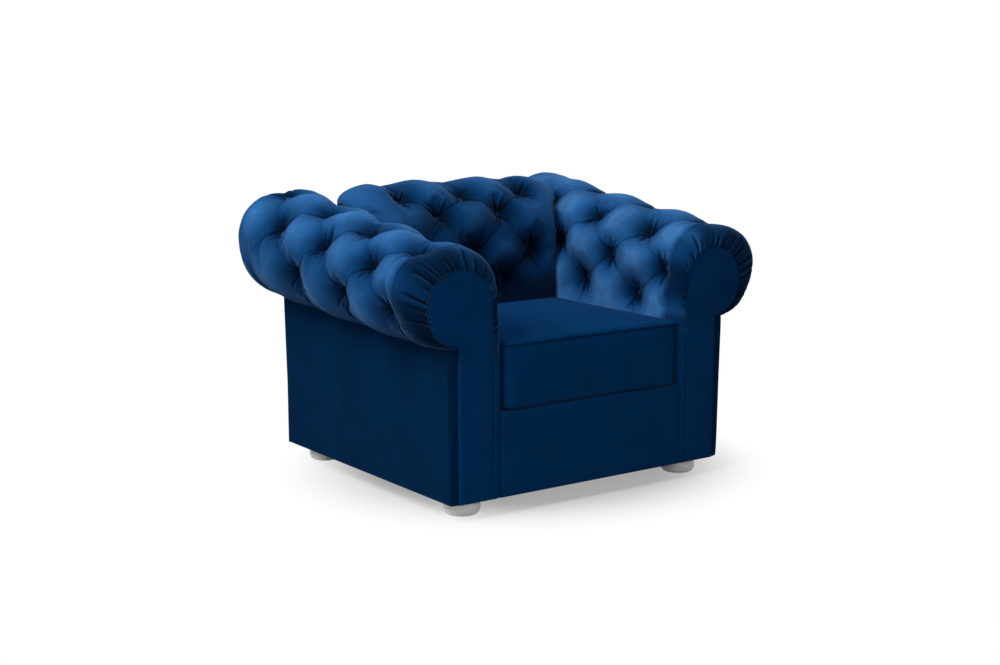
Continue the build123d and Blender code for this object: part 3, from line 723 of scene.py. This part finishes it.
def endRing(sheet, edge, front, lines):
    # the border that turns from the roll to the facing, gathered along the seam
    rows = sheet["rows"]
    y0 = padLow.y + ring["start"] if front else padHigh.y - ring["start"]
    y1 = frontY - ring["frontProud"] if front else rearY - ring["rearShy"]
    station = np.full_like(rows, y0)
    marks = armMark(station, rows)
    rim = np.stack(rimPoint(marks, station, front), -1)
    outward = np.stack(armOutward(station, marks), -1)
    lengths = np.interp(rows, sheet["fine"], sheet["run"])
    # lies level with the plain strip at the seat edge
    flush = smoothStep(*ring["seatRun"], lengths)
    calm = flush * (1 - ring["hemCalm"] * smoothStep(*ring["hemRun"], lengths[-1] - lengths))
    level = y1 + (ring["seatSink"] if front else 0.0) * (1 - flush)
    # clear of the boards
    deep = ring["deep"] if front else outBackHigh.y - outBackLow.y - ring["rearClear"]
    seated = ring["grooveSeat"] + (1 - ring["grooveSeat"]) * flush
    strip, paintedLevel = [], []
    for turn in np.linspace(0, 1, ring["turns"])[1:]:
        inn = 1 - math.cos(turn * math.pi / 2) ** ring["inPower"]
        out = math.sin(turn * math.pi / 2) ** ring["outPower"]
        gather = gatherDepth(lines, lengths, np.full_like(rows, ring["run"] * (1 - turn))) * calm
        groove = ring["groove"] * float(smoothStep(ring["grooveFrom"], 1.0, np.array(inn)))
        xz = edge[:, [0, 2]] + (rim - edge[:, [0, 2]]) * inn
        xz = xz - outward * (seamGather["inward"] * gather * (1 - inn))[:, None]
        y = edge[:, 1] + (level - edge[:, 1]) * out
        y = y - np.sign(y1 - y0) * np.minimum(groove * seated + gather * inn ** 0.5, deep)
        strip.append(np.stack([xz[:, 0], y, xz[:, 1]], -1))
        # painted shade in the ring's gathers, painted highlights on their lips
        paintedLevel.append(gatherPaintedShade(gather, pileAndPaintedShade["ringLip"]))
    return np.stack(strip, 1), np.stack(paintedLevel, 1)


def armCoreEnd(rows, y):
    station = np.full_like(rows, y)
    x, z = armCore(station, armMark(station, rows))
    return np.stack([x, station, z], -1)


def makeArms():
    coarse = armSheet(clothLook["grain"], 1.0, armRoll["weak"]["Left"])
    move = settleCloth(coarse, tuftDepth(coarse, armRoll["seed"]["Left"], False))
    first, last, end = padLow.y, padHigh.y, armCoreSize["end"]
    for side, sign in sides:
        seed = armRoll["seed"][side]
        sheet = armSheet(tuft["grain"], armRoll["paintedLevel"][side], armRoll["weak"][side])
        body = tuftedCover(sheet, move, seed)
        rng = np.random.default_rng(seed + ring["seed"])
        sizes = (1.0, seamGather["rearSize"])
        frontLines, rearLines = (gatherLines(sheet["run"][-1], rng, size) for size in sizes)
        away = sheet["crown"][..., 1] - first - ring["start"] + ring["run"]
        gather = gatherDepth(frontLines, sheet["length"], away)
        gather = gather * smoothStep(*ring["seatRun"], sheet["length"])
        body = body - seamGather["inward"] * sheet["out"] * gather[..., None]
        frontRing, frontPaintedLevel = endRing(sheet, body[:, 0], True, frontLines)
        rearRing, rearPaintedLevel = endRing(sheet, body[:, -1], False, rearLines)
        outer = np.concatenate([frontRing[:, ::-1], body, rearRing], 1)
        # painted shading of the body, darkened in the gathers, joined with that of both rings
        nap = sheet["nap"] * gatherPaintedShade(gather, pileAndPaintedShade["gatherLip"])
        nap = np.concatenate([nap[:, :1] * frontPaintedLevel[:, ::-1], nap, nap[:, -1:] * rearPaintedLevel], 1)
        core = np.stack([armCoreEnd(sheet["rows"], y) for y in (first + end, last - end)], 1)
        outer[..., 0] *= sign
        core[..., 0] *= sign
        pad = closePad(outer, core, f"armPad{side}", nap)
        dressed(pad, "chair", "tufted_velvet", f"arm_pad_{side.lower()}")
        buttons = coverButtons(f"armButtons{side}", sheet, body, sign, stripHigh.y - armRoll["lowClear"])
        dressed(buttons, "chair", "button_velvet", f"arm_buttons_{side.lower()}")


def makeBack():
    coarse = backSheet(clothLook["grain"])
    move = settleCloth(coarse, tuftDepth(coarse, backRoll["seed"], False))
    sheet = backSheet(tuft["grain"])
    outer = tuftedCover(sheet, move, backRoll["seed"])
    inner = backRoll["radius"] - backRoll["padding"] - backRoll["coreDrop"]
    y, z = backCurve(backMark(sheet["rows"]), inner)
    ends = (backLow.x + backRoll["coreEnd"], backHigh.x - backRoll["coreEnd"])
    core = np.stack([np.stack([np.full_like(y, x), y, z], -1) for x in ends], 1)
    pad = closePad(outer, core, "backPad", sheet["nap"])
    dressed(pad, "chair", "tufted_velvet", "back_pad")
    buttons = coverButtons("backButtons", sheet, outer, 1, math.inf)
    dressed(buttons, "chair", "button_velvet", "back_buttons")


buttonLook = dict(
    radius=0.0110, height=0.0062, lift=0.0010, sides=20,
    profile=((0.82, -0.55), (0.97, -0.25), (1.0, 0.0), (0.95, 0.30), (0.80, 0.62),
             (0.55, 0.86), (0.28, 0.97)),
)


def coverButtons(name, sheet, body, sign, lowRear):
    # domed velvet buttons seated in each tuft; the low rows stop at lowRear, where the back pad stands
    verts, faces = [], []
    n, profile = buttonLook["sides"], buttonLook["profile"]
    mirror = np.array([sign, 1, 1])
    for c, r in buttonSpots(sheet):
        i = int(np.argmin(np.abs(sheet["rows"] - r)))
        j = int(np.argmin(np.abs(sheet["column"][i] - c)))
        spot, out = body[i, j], sheet["out"][i, j]
        loose = sheet["weak"].get((c, r), 1.0) < tuft["heldLeast"]
        if loose or (r <= armRoll["lowRows"] and spot[1] >= lowRear):
            continue
        axis = Vector(out * mirror).normalized()
        place = Vector(spot * mirror) + axis * buttonLook["lift"]
        side = axis.orthogonal().normalized()
        up = axis.cross(side)
        start = len(verts)
        for part, rise in profile:
            for turn in (2 * math.pi * k / n for k in range(n)):
                spoke = (side * math.cos(turn) + up * math.sin(turn)) * part * buttonLook["radius"]
                verts.append(place + spoke + axis * rise * buttonLook["height"])
        verts.append(place + axis * buttonLook["height"])
        faces += ringFaces(len(profile), n, start)
        faces.append([start + k for k in reversed(range(n))])
        faces += fanFaces(start + (len(profile) - 1) * n, n, len(verts) - 1)
    return meshObject(name, verts, faces, buttonVelvet)


makeArms()
makeBack()
print("tufted arms and back made")


# panels: stretched velvet on a flat outline, with turned edges and a slight swell
panelLook = dict(
    edge=0.005, swell=0.0016, swellReach=0.030, ripple=0.0006, rippleReach=0.03,
    outlineStep=0.004, grain=0.013,
    bands=(0.0006, 0.0016, 0.0030, 0.0050, 0.0085), bandKeep=0.96, bandGap=0.003,
)
cover = dict(
    thickness=0.008, edge=0.004, rise=0.016, hemLap=0.009, cornerLap=0.001,
    cornerBack=0.012, cornerFront=0.006,
    stemLap=0.0003, split=0.006, splitLean=0.004, padGap=0.0005, apronLap=0.002,
    apronSide=0.009, backTop=0.611,
    pullGap=0.0005, pullThickness=0.006,
)


def offsetLoop(points, distance):
    # moves a closed anticlockwise loop inwards
    ahead = np.roll(points, -1, 0) - points
    ahead /= np.linalg.norm(ahead, axis=1, keepdims=True) + 1e-12
    turned = ahead + np.roll(ahead, 1, 0)
    normal = np.stack([-turned[:, 1], turned[:, 0]], -1)
    normal /= np.linalg.norm(normal, axis=1, keepdims=True) + 1e-12
    mitre = np.clip((normal * np.stack([-ahead[:, 1], ahead[:, 0]], -1)).sum(1, keepdims=True), 0.35, 1)
    return points + normal * distance / mitre


def densify(points, step):
    dense = []
    for a, b in zip(points, np.roll(points, -1, 0)):
        count = max(1, int(np.linalg.norm(b - a) / step))
        dense += [a + (b - a) * k / count for k in range(count)]
    return np.array(dense)


def edgeDistance(points, outline):
    # distance from each point to the nearest side of the outline
    best = np.full(len(points), 9.0)
    for a, b in zip(outline, np.roll(outline, -1, 0)):
        along = b - a
        size = along @ along
        if size < 1e-14:
            continue
        t = np.clip((points - a) @ along / size, 0, 1)
        best = np.minimum(best, np.linalg.norm(points - a - t[:, None] * along, axis=1))
    return best


def insideLoop(points, outline):
    inside = np.zeros(len(points), bool)
    for a, b in zip(outline, np.roll(outline, -1, 0)):
        if a[1] == b[1]:
            continue
        crosses = (a[1] > points[:, 1]) != (b[1] > points[:, 1])
        where = a[0] + (points[:, 1] - a[1]) / (b[1] - a[1]) * (b[0] - a[0])
        inside ^= crosses & (points[:, 0] < where)
    return inside


def panelField(outline, loop, columns):
    # the outline, bands close to it and a grid within
    points = [loop]
    for band in panelLook["bands"]:
        inner = offsetLoop(loop, band)
        keep = (edgeDistance(inner, outline) > band * panelLook["bandKeep"]) & insideLoop(inner, outline)
        points.append(inner[keep])
    low, high = outline.min(0), outline.max(0)
    us = np.union1d(np.arange(low[0], high[0], panelLook["grain"]), np.array(columns, float))
    vs = np.arange(low[1], high[1], panelLook["grain"])
    field = np.stack(np.meshgrid(us, vs, indexing="ij"), -1).reshape(-1, 2)
    gap = panelLook["bands"][-1] + panelLook["bandGap"]
    points.append(field[(edgeDistance(field, outline) > gap) & insideLoop(field, outline)])
    return np.concatenate(points)


def makePanel(name, outline, place, thickness, *replaced,
              material=smoothVelvet, columns=(), edge=panelLook["edge"]):
    # place(u, v, w) gives the points w in front of the back plane
    outline = np.array(outline, float)
    loop = densify(outline, panelLook["outlineStep"])
    n = len(loop)
    edges = [(i, (i + 1) % n) for i in range(n)]
    points = [Vector(p) for p in panelField(outline, loop, columns)]
    found = delaunay_2d_cdt(points, edges, [], 1, 1e-7)
    flat = np.array([tuple(p) for p in found[0]])
    faces = [tuple(f) for f in found[2]]
    border = {original: k for k, origin in enumerate(found[3]) for original in origin if original < n}
    inset = edgeDistance(flat, outline)
    turned = np.sqrt(np.maximum(edge ** 2 - np.maximum(edge - inset, 0) ** 2, 0))
    height = thickness - edge + turned
    height += panelLook["swell"] * (1 - np.exp(-np.maximum(inset - edge, 0) / panelLook["swellReach"]))
    ripple = np.sin(17 * flat[:, 0] + 5 * flat[:, 1] + 1) * np.sin(13 * flat[:, 1] - 7 * flat[:, 0])
    height += panelLook["ripple"] * ripple * smoothStep(0, panelLook["rippleReach"], inset)
    count = len(flat)
    verts = [place(u, v, w) for (u, v), w in zip(flat, height)] + [place(u, v, 0.0) for u, v in flat]
    faces += [tuple(count + k for k in reversed(f)) for f in faces]
    for i in range(n):
        a, b = border[i], border[(i + 1) % n]
        faces.append((b, a, count + a, count + b))
    panel = meshObject(name, verts, faces, material)
    dressed(panel, "chair", "smooth_velvet", *replaced)


def arcPoints(centre, radius, first, last, count):
    return [(centre[0] + radius * math.cos(math.radians(a)), centre[1] + radius * math.sin(math.radians(a)))
            for a in np.linspace(first, last, count)]


def bentPlace(sign, start, cornerX, radius, outwards, flare=0.0, recess=0.0):
    # across the front from x = start, round a corner, then back along the side
    thickness = cover["thickness"]
    span = abs(cornerX - start) - radius
    quarter = radius * math.pi / 2

    def place(u, v, w):
        lift = w - thickness
        turn = min(max((u - span) / quarter, 0), 1) * math.pi / 2
        x = start + outwards * (min(u, span) + radius * math.sin(turn))
        y = frontY + radius * (1 - math.cos(turn)) + max(u - span - quarter, 0)
        x += flare * math.sin(turn) * (v - bodyBottom)
        y += recess * math.cos(turn)
        return sign * (x + outwards * math.sin(turn) * lift), y - math.cos(turn) * lift, v

    columns = span + quarter * np.linspace(-0.2, 1.2, 9)
    return place, span + quarter, columns


def makeFacings():
    hemTurn = -math.degrees(math.acos((stemOuter - headX) / headRadius))
    outline = [(stemInner, bodyBottom), (stemOuter - facing["seam"], bodyBottom)]
    outline += arcPoints((headX, headZ), headRadius, hemTurn, 180, 72)
    for side, sign in sides:
        place = lambda u, v, w: (sign * u, facingBackY - w, v)
        makePanel(f"armFacing{side}", outline, place, facingBackY - frontY, f"arm_facing_{side.lower()}")


def makePull():
    # the plain cloth that joins the inside back to the deck, hidden by the cushion
    half, back = deckHigh.x - cover["pullGap"], backRailLow.y - cover["pullGap"]
    low, top = deckHigh.z + cover["pullGap"], backLow.z
    outline = [(-half, low), (half, low), (half, top), (-half, top)]
    makePanel("insideBackPull", outline, lambda u, v, w: (u, back - w, v), cover["pullThickness"])


def makeSides():
    # one cover each: the strip beside the facing, round the front corner, and the outside of the arm
    start, radius = stemOuter - facing["tuck"], facing["corner"]
    rearTop, frontTop = (alongArm(armRoll["hem"], y) + cover["hemLap"] for y in (outBackLow.y, frontY))
    top = armRoll["hem"][0] + cover["rise"]          # the strip runs up inside the gathered border
    for side, sign in sides:
        leans = facing["flare"], facing["recess"]
        place, bend, columns = bentPlace(sign, start, halfWidth, radius, 1, *leans)
        end = bend + outBackLow.y - frontY - radius
        outline = [(0, bodyBottom), (end, bodyBottom), (end, rearTop),
                   (bend + cover["cornerBack"], frontTop + cover["cornerLap"]),
                   (bend - cover["cornerFront"], top), (0, top)]
        makePanel(f"outsideArm{side}", outline, place, cover["thickness"],
                  f"outside_arm_panel_{side.lower()}", material=sideVelvetPaintedShade, columns=columns,
                  edge=cover["edge"])


def makeInsides():
    # one cover each: the strip inside the facing, round to the seat, and the face below the tufting
    top = padBottom - cover["padGap"]
    rise = top + cover["rise"]          # the strip runs up behind the gathered border
    low = apronHigh.z + cover["apronLap"]
    for side, sign in sides:
        place, bend, columns = bentPlace(sign, stemInner - cover["stemLap"], halfSeat, facing["inner"], -1)
        end = bend + stripHigh.y - frontY - facing["inner"]
        split = bend + cover["split"]
        outline = [(0, bodyBottom), (split, bodyBottom), (split, low), (end, low), (end, top),
                   (split, top), (split - cover["splitLean"], rise), (0, rise)]
        makePanel(f"insideArm{side}", outline, place, cover["thickness"],
                  f"inside_arm_panel_{side.lower()}", columns=columns, edge=cover["edge"])


def makeApron():
    half = halfSeat + cover["apronSide"]          # its ends stand against the rounded strips
    outline = [(-half, apronLow.z), (half, apronLow.z), (half, apronHigh.z), (-half, apronHigh.z)]
    place = lambda u, v, w: (u, apronHigh.y - w, v)
    makePanel("frontApron", outline, place, apronHigh.y - apronLow.y, "front_apron_panel")


def makeOutsideBack():
    headHalf = armCoreSize["half"][1]
    centre = (halfSeat + armCoreSize["inset"] + headHalf, outBackHigh.z - headHalf)
    low = -math.degrees(math.acos((halfWidth - centre[0]) / headHalf))
    high = 180 - math.degrees(math.asin((outBackLow.z + cover["backTop"] - centre[1]) / headHalf))
    right = [(halfWidth, bodyBottom)] + arcPoints(centre, headHalf, low, high, 60)
    outline = right + [(-u, v) for u, v in reversed(right)]
    place = lambda u, v, w: (u, outBackLow.y + w, v)
    makePanel("outsideBack", outline, place, outBackHigh.y - outBackLow.y, "outside_back_panel")


makeFacings()
makePull()
makeSides()
makeInsides()
makeApron()
makeOutsideBack()
print("panels made")


# boxed seat cushion: crowned top, sides drawn in between the corners, a sewn lip along the top edge
# base, seam and lip points are (inset, height), from the bottom or from the top edge
cushion = dict(
    corner=0.024, draw=0.004, drawReach=0.15, edgeTop=0.444, around=300, sideGap=0.0026,
    base=((0.180, 0.0), (0.090, 0.0), (0.030, 0.0), (0.009, 0.0),
          (0.004, 0.002), (0.0010, 0.006), (0.0, 0.012)),
    wall=0.0012, wallStart=0.012, wallEnds=0.026, lip=0.0030,
    seam=((0.0008, -0.0120), (0.0022, -0.0090), (0.0030, -0.0078)),
    lipTurn=((-0.5, -0.0068), (-1.0, -0.0050), (-1.0, -0.0028), (-0.5, -0.0008)),
    welt=((0.0006, 0.0), (0.0030, -0.0010), (0.0044, -0.0002)),
    crown=0.022, crownFrom=0.0008, crownReach=0.262, crownPower=0.75,
    crownInsets=(0.006, 0.010, 0.016, 0.024, 0.034, 0.046, 0.060, 0.076, 0.094, 0.113, 0.133, 0.154, 0.176),
    crownParts=(0.82, 0.64, 0.46, 0.28, 0.12),
    voxel=0.006, pressure=4.0, frames=20, tension=15.0, shear=5.0, bend=0.5, slack=0.0, cap=0.008,
    heldBase=0.02, heldRim=0.007, rimWeight=0.85, nearest=6, nearGap=0.002, sideGive=0.15, rearGive=0.2,
)


def cushionLoop(inset, draw):
    halfX = (seatHigh.x - seatLow.x) / 2 - inset - cushion["sideGap"]
    halfY = (seatHigh.y - seatLow.y) / 2 - inset
    r = cushion["corner"]
    points = []
    for quarter, (sx, sy) in enumerate(((1, -1), (1, 1), (-1, 1), (-1, -1))):
        points += arcPoints((sx * (halfX - r), sy * (halfY - r)), r, 90 * (quarter - 1), 90 * quarter, 9)
    loop = np.array(points)
    marks = np.concatenate([[0], np.cumsum(np.linalg.norm(np.roll(loop, -1, 0) - loop, axis=1))])
    closed = np.vstack([loop, loop[:1]])
    at = np.linspace(0, marks[-1], cushion["around"], endpoint=False)
    x, y = (np.interp(at, marks, closed[:, k]) for k in (0, 1))
    pullX = draw * smoothStep(0.5, 1.0, np.abs(x) / halfX) * (1 - (y / halfY) ** 2).clip(0)
    pullY = draw * smoothStep(0.5, 1.0, np.abs(y) / halfY) * (1 - (x / halfX) ** 2).clip(0)
    return np.stack([x - np.sign(x) * pullX, y - np.sign(y) * pullY + (seatLow.y + seatHigh.y) / 2], -1)


def crownHeight(inset):
    rise = math.sin(math.pi / 2 * inset / cushion["crownReach"]) ** cushion["crownPower"]
    return cushion["edgeTop"] + cushion["crownFrom"] + (cushion["crown"] - cushion["crownFrom"]) * rise


def cushionRings():
    low, top = seatLow.z, cushion["edgeTop"]
    wallLow, wallRun = low + cushion["wallStart"], top - low - cushion["wallEnds"]
    levels = [(inset, low + z) for inset, z in cushion["base"]]
    for k in np.linspace(0.06, 0.94, 14):
        levels.append((-cushion["wall"] * math.sin(math.pi * k), wallLow + wallRun * k))
    levels += [(inset, top + z) for inset, z in cushion["seam"]]
    levels += [(cushion["lip"] * part, top + z) for part, z in cushion["lipTurn"]]
    levels += [(inset, top + z) for inset, z in cushion["welt"]]
    levels += [(inset, crownHeight(inset)) for inset in cushion["crownInsets"]]
    rings = []
    for inset, z in levels:
        loop = cushionLoop(inset, cushion["draw"] * max(0.0, 1 - max(inset, 0) / cushion["drawReach"]))
        rings.append(np.column_stack([loop, np.full(len(loop), z)]))
    middle = np.array([0, (seatLow.y + seatHigh.y) / 2])
    inner, last = rings[-1], cushion["crownInsets"][-1]
    for part in cushion["crownParts"]:
        z = crownHeight(last + (cushion["crownReach"] - last) * (1 - part))
        rings.append(np.column_stack([middle + (inner[:, :2] - middle) * part, np.full(len(inner), z)]))
    return rings


def swellCushion(pad):
    # cloth pass on a voxel copy; its movement is carried back to the sewn mesh
    trial = bpy.data.objects.new("cushionTrial", pad.data.copy())
    scene.collection.objects.link(trial)
    remesh = trial.modifiers.new("voxels", "REMESH")
    remesh.mode = "VOXEL"
    remesh.voxel_size = cushion["voxel"]
    voxels = bpy.data.meshes.new_from_object(trial.evaluated_get(bpy.context.evaluated_depsgraph_get()))
    trial.modifiers.clear()
    trial.data = voxels
    start = meshPoints(voxels)
    rim = np.abs(start[:, 2] - cushion["edgeTop"]) < cushion["heldRim"]
    weights = np.where(rim, cushion["rimWeight"], start[:, 2] < seatLow.z + cushion["heldBase"])
    move = cappedMove("cushion", runCloth(trial, weights, cushion) - start, cushion["cap"])
    tree = KDTree(len(start))
    for k, p in enumerate(start):
        tree.insert(p, k)
    tree.balance()
    for vert in pad.data.vertices:
        found = tree.find_n(vert.co, cushion["nearest"])
        weights = np.array([1 / (distance + cushion["nearGap"]) for spot, k, distance in found])
        shift = (move[[k for spot, k, distance in found]] * weights[:, None]).sum(0) / weights.sum()
        shift[0] *= cushion["sideGive"]              # the arms hold the sides
        if vert.co.y > 0:
            shift[1] *= cushion["rearGive"]          # and the back holds the rear
        vert.co += Vector(shift)


def makeCushion():
    rings = cushionRings()
    n = cushion["around"]
    faces = ringFaces(len(rings), n)
    faces.append(list(range(n))[::-1])
    faces.append([(len(rings) - 1) * n + i for i in range(n)])
    pad = meshObject("seatCushion", np.concatenate(rings), faces, smoothVelvet)
    swellCushion(pad)
    dressed(pad, "cushion", "smooth_velvet", "seat_cushion")


makeCushion()
print("cushion made")


# turned bun feet in satin white lacquer
footLook = dict(
    neck=0.039, belly=0.048, sole=0.033, soleFlat=0.9, shoulderDrop=0.006, neckDrop=0.003, around=64,
    colour=(0.93, 0.93, 0.92), cloudTone=0.94, cloudScale=30.0, grainScale=420.0, grainBump=(0.04, 0.001),
    roughness=0.32, coat=0.25, coatRoughness=0.15,
)


def lacquer(name, look):
    mat, tree, bsdf = newMaterial(name)
    coords = objectCoords(tree)
    cloud = noiseNode(tree, coords, look["cloudScale"])
    shaded = [look["cloudTone"] * part for part in look["colour"]]
    setInputs(tree, bsdf, {
        "Base Color": rampNode(tree, cloud, [(0.3, shaded), (0.7, look["colour"])]),
        "Normal": bumpNode(tree, noiseNode(tree, coords, look["grainScale"]), *look["grainBump"]),
        "Roughness": look["roughness"],
        "Coat Weight": look["coat"],
        "Coat Roughness": look["coatRoughness"],
    })
    return mat


def footProfile(top):
    # (radius, height) from the sole, round the belly, to the neck
    neck, belly, sole = footLook["neck"], footLook["belly"], footLook["sole"]
    middle = (top - footLook["shoulderDrop"]) / 2
    profile = [(sole * footLook["soleFlat"], 0.0)]
    for a in np.linspace(0.12, math.pi / 2, 12):
        profile.append((sole + (belly - sole) * math.sin(a), middle - middle * math.cos(a)))
    for a in np.linspace(0.1, math.pi / 2, 10):
        profile.append((neck + (belly - neck) * math.cos(a), middle + middle * math.sin(a)))
    return profile + [(neck, top - footLook["neckDrop"]), (neck, top)]


def makeFeet(material):
    n = footLook["around"]
    for name in ("foot_front_left", "foot_front_right", "foot_rear_left", "foot_rear_right"):
        low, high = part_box(name)
        centre = (low + high) / 2
        profile = footProfile(high.z)
        verts = [(centre.x, centre.y, 0.0)]
        for r, z in profile:
            turns = (2 * math.pi * i / n for i in range(n))
            verts += [(centre.x + r * math.cos(turn), centre.y + r * math.sin(turn), z) for turn in turns]
        verts.append((centre.x, centre.y, high.z))
        faces = fanFaces(1, n, 0) + ringFaces(len(profile), n, 1)
        faces += fanFaces(1 + (len(profile) - 1) * n, n, len(verts) - 1)
        foot = meshObject(name.replace("foot", "bunFoot"), verts, faces, material)
        dressed(foot, "chair", "white_lacquer", name)


makeFeet(lacquer("whiteLacquer", footLook))
print("feet made")


# carried-over solids inside and under the chair, by the record's material slots
insideLook = {
    "timber": dict(name="pineTimber", tones=((0.42, 0.27, 0.14), (0.62, 0.44, 0.25)),
        scale=30.0, rough=0.7, stretch=(6.0, 1.0, 1.0)),
    "bent_board": dict(name="bentBoard", tones=((0.30, 0.20, 0.11), (0.40, 0.28, 0.17)),
        scale=120.0, rough=0.8),
    "webbing": dict(name="juteWebbing", tones=((0.34, 0.26, 0.15), (0.48, 0.39, 0.25)),
        scale=260.0, rough=0.95, bump=0.5),
    "deck_felt": dict(name="deckFelt", tones=((0.002, 0.010, 0.030), (0.004, 0.016, 0.046)),
        scale=300.0, rough=1.0, bump=0.4),
    "dust_cloth": dict(name="dustCloth", tones=((0.012, 0.012, 0.013), (0.028, 0.028, 0.030)),
        scale=420.0, rough=1.0, bump=0.3),
    "zinc_steel": dict(name="zincSteel", tones=((0.52, 0.53, 0.55), (0.68, 0.69, 0.70)),
        scale=200.0, rough=0.35, bump=0.05, metal=1.0),
}


def grainy(name, tones, scale, rough, stretch=(1.0, 1.0, 1.0), metal=0.0, bump=0.15):
    mat, tree, bsdf = newMaterial(name)
    mapping = addNode(tree, "ShaderNodeMapping", dict(Vector=objectCoords(tree), Scale=stretch))
    fac = noiseNode(tree, mapping.outputs["Vector"], scale, 5.0, 0.6, 0.6)
    setInputs(tree, bsdf, {
        "Base Color": rampNode(tree, fac, [(0.3, tones[0]), (0.7, tones[1])]),
        "Normal": bumpNode(tree, fac, bump, 0.001),
        "Roughness": rough,
        "Metallic": metal,
    })
    return mat


insideMaterials = {slot: grainy(**look) for slot, look in insideLook.items()}
for part in frame["record"]["subparts"]:
    if part["material_slot"] in insideMaterials:
        nodes[part["node"]].data.materials.clear()
        nodes[part["node"]].data.materials.append(insideMaterials[part["material_slot"]])
print("inside pieces finished")


# studio: white floor that keeps the shadow near the chair, soft light from above, left and a little behind
studio = dict(
    worldFill=0.05, floorTone=0.66, floorRadius=9.0, floorRough=0.9, floorShine=0.1,
    fadeFrom=0.40, fadeTo=0.75, floorLift=0.36, spread=(1.02, 1.08, 1.0), shift=(-0.06, 0.04, 0.0),
    lamps=(
        ("keySoft", (-2.4, -0.5, 2.5), (0.0, 0.0, 0.5), 1.9, 92.0),
        ("topSoft", (0.2, 0.3, 3.4), (0.0, 0.0, 0.3), 3.0, 48.0),
        ("frontFill", (-1.5, -3.8, 1.7), (0.0, 0.0, 0.4), 2.0, 23.5),
        ("sideFill", (3.4, 1.6, 1.5), (0.0, 0.0, 0.4), 2.2, 34.0),
    ),
)


def seenRay(tree):
    path = tree.nodes.new("ShaderNodeLightPath")
    total = path.outputs["Is Camera Ray"]
    for kind in ("Is Glossy Ray", "Is Transmission Ray"):
        total = mathNode(tree, "MAXIMUM", total, path.outputs[kind])
    return total


def makeLamps():
    for name, place, target, size, power in studio["lamps"]:
        data = bpy.data.lights.new(name, "AREA")
        data.shape = "DISK"
        data.size = size
        data.energy = power
        lamp = bpy.data.objects.new(name, data)
        scene.collection.objects.link(lamp)
        lamp.location = place
        lamp.rotation_euler = (Vector(target) - Vector(place)).to_track_quat("-Z", "Y").to_euler()


def makeWorld():
    world = bpy.data.worlds.new("studioWorld")
    scene.world = world
    world.use_nodes = True
    tree = world.node_tree
    fill = {"Value": seenRay(tree), "To Min": studio["worldFill"], "To Max": 1.0}
    level = addNode(tree, "ShaderNodeMapRange", fill)
    setInputs(tree, tree.nodes["Background"], {"Color": (1, 1, 1, 1), "Strength": level.outputs["Result"]})


def floorMaterial():
    mat, tree, bsdf = newMaterial("paleFloor")
    tone = studio["floorTone"]
    setInputs(tree, bsdf, {
        "Base Color": (tone, tone, tone, 1),
        "Roughness": studio["floorRough"],
        "Specular IOR Level": studio["floorShine"],
    })
    white = addNode(tree, "ShaderNodeEmission", dict(Color=(1, 1, 1, 1), Strength=1.0))
    spread = addNode(tree, "ShaderNodeMapping",
                     dict(Vector=objectCoords(tree), Scale=studio["spread"], Location=studio["shift"]))
    away = addNode(tree, "ShaderNodeVectorMath", {0: spread.outputs["Vector"]}, operation="LENGTH")
    fade = addNode(tree, "ShaderNodeMapRange", {
        "Value": away.outputs["Value"],
        "From Min": studio["fadeFrom"],
        "From Max": studio["fadeTo"],
        "To Min": studio["floorLift"],
    }, interpolation_type="SMOOTHSTEP")
    whiteness = mathNode(tree, "MULTIPLY", fade.outputs["Result"], seenRay(tree))
    mix = addNode(tree, "ShaderNodeMixShader",
                  {"Fac": whiteness, 1: bsdf.outputs["BSDF"], 2: white.outputs["Emission"]})
    setInputs(tree, tree.nodes["Material Output"], dict(Surface=mix.outputs["Shader"]))
    return mat


def makeFloor():
    bpy.ops.mesh.primitive_circle_add(vertices=96, radius=studio["floorRadius"], fill_type="NGON",
                                      location=(0, 0, 0))
    floor = bpy.context.object
    floor.name = "studioFloor"
    floor.data.materials.append(floorMaterial())


makeLamps()
makeWorld()
makeFloor()
scene.view_settings.view_transform = "Standard"
print("studio lit")
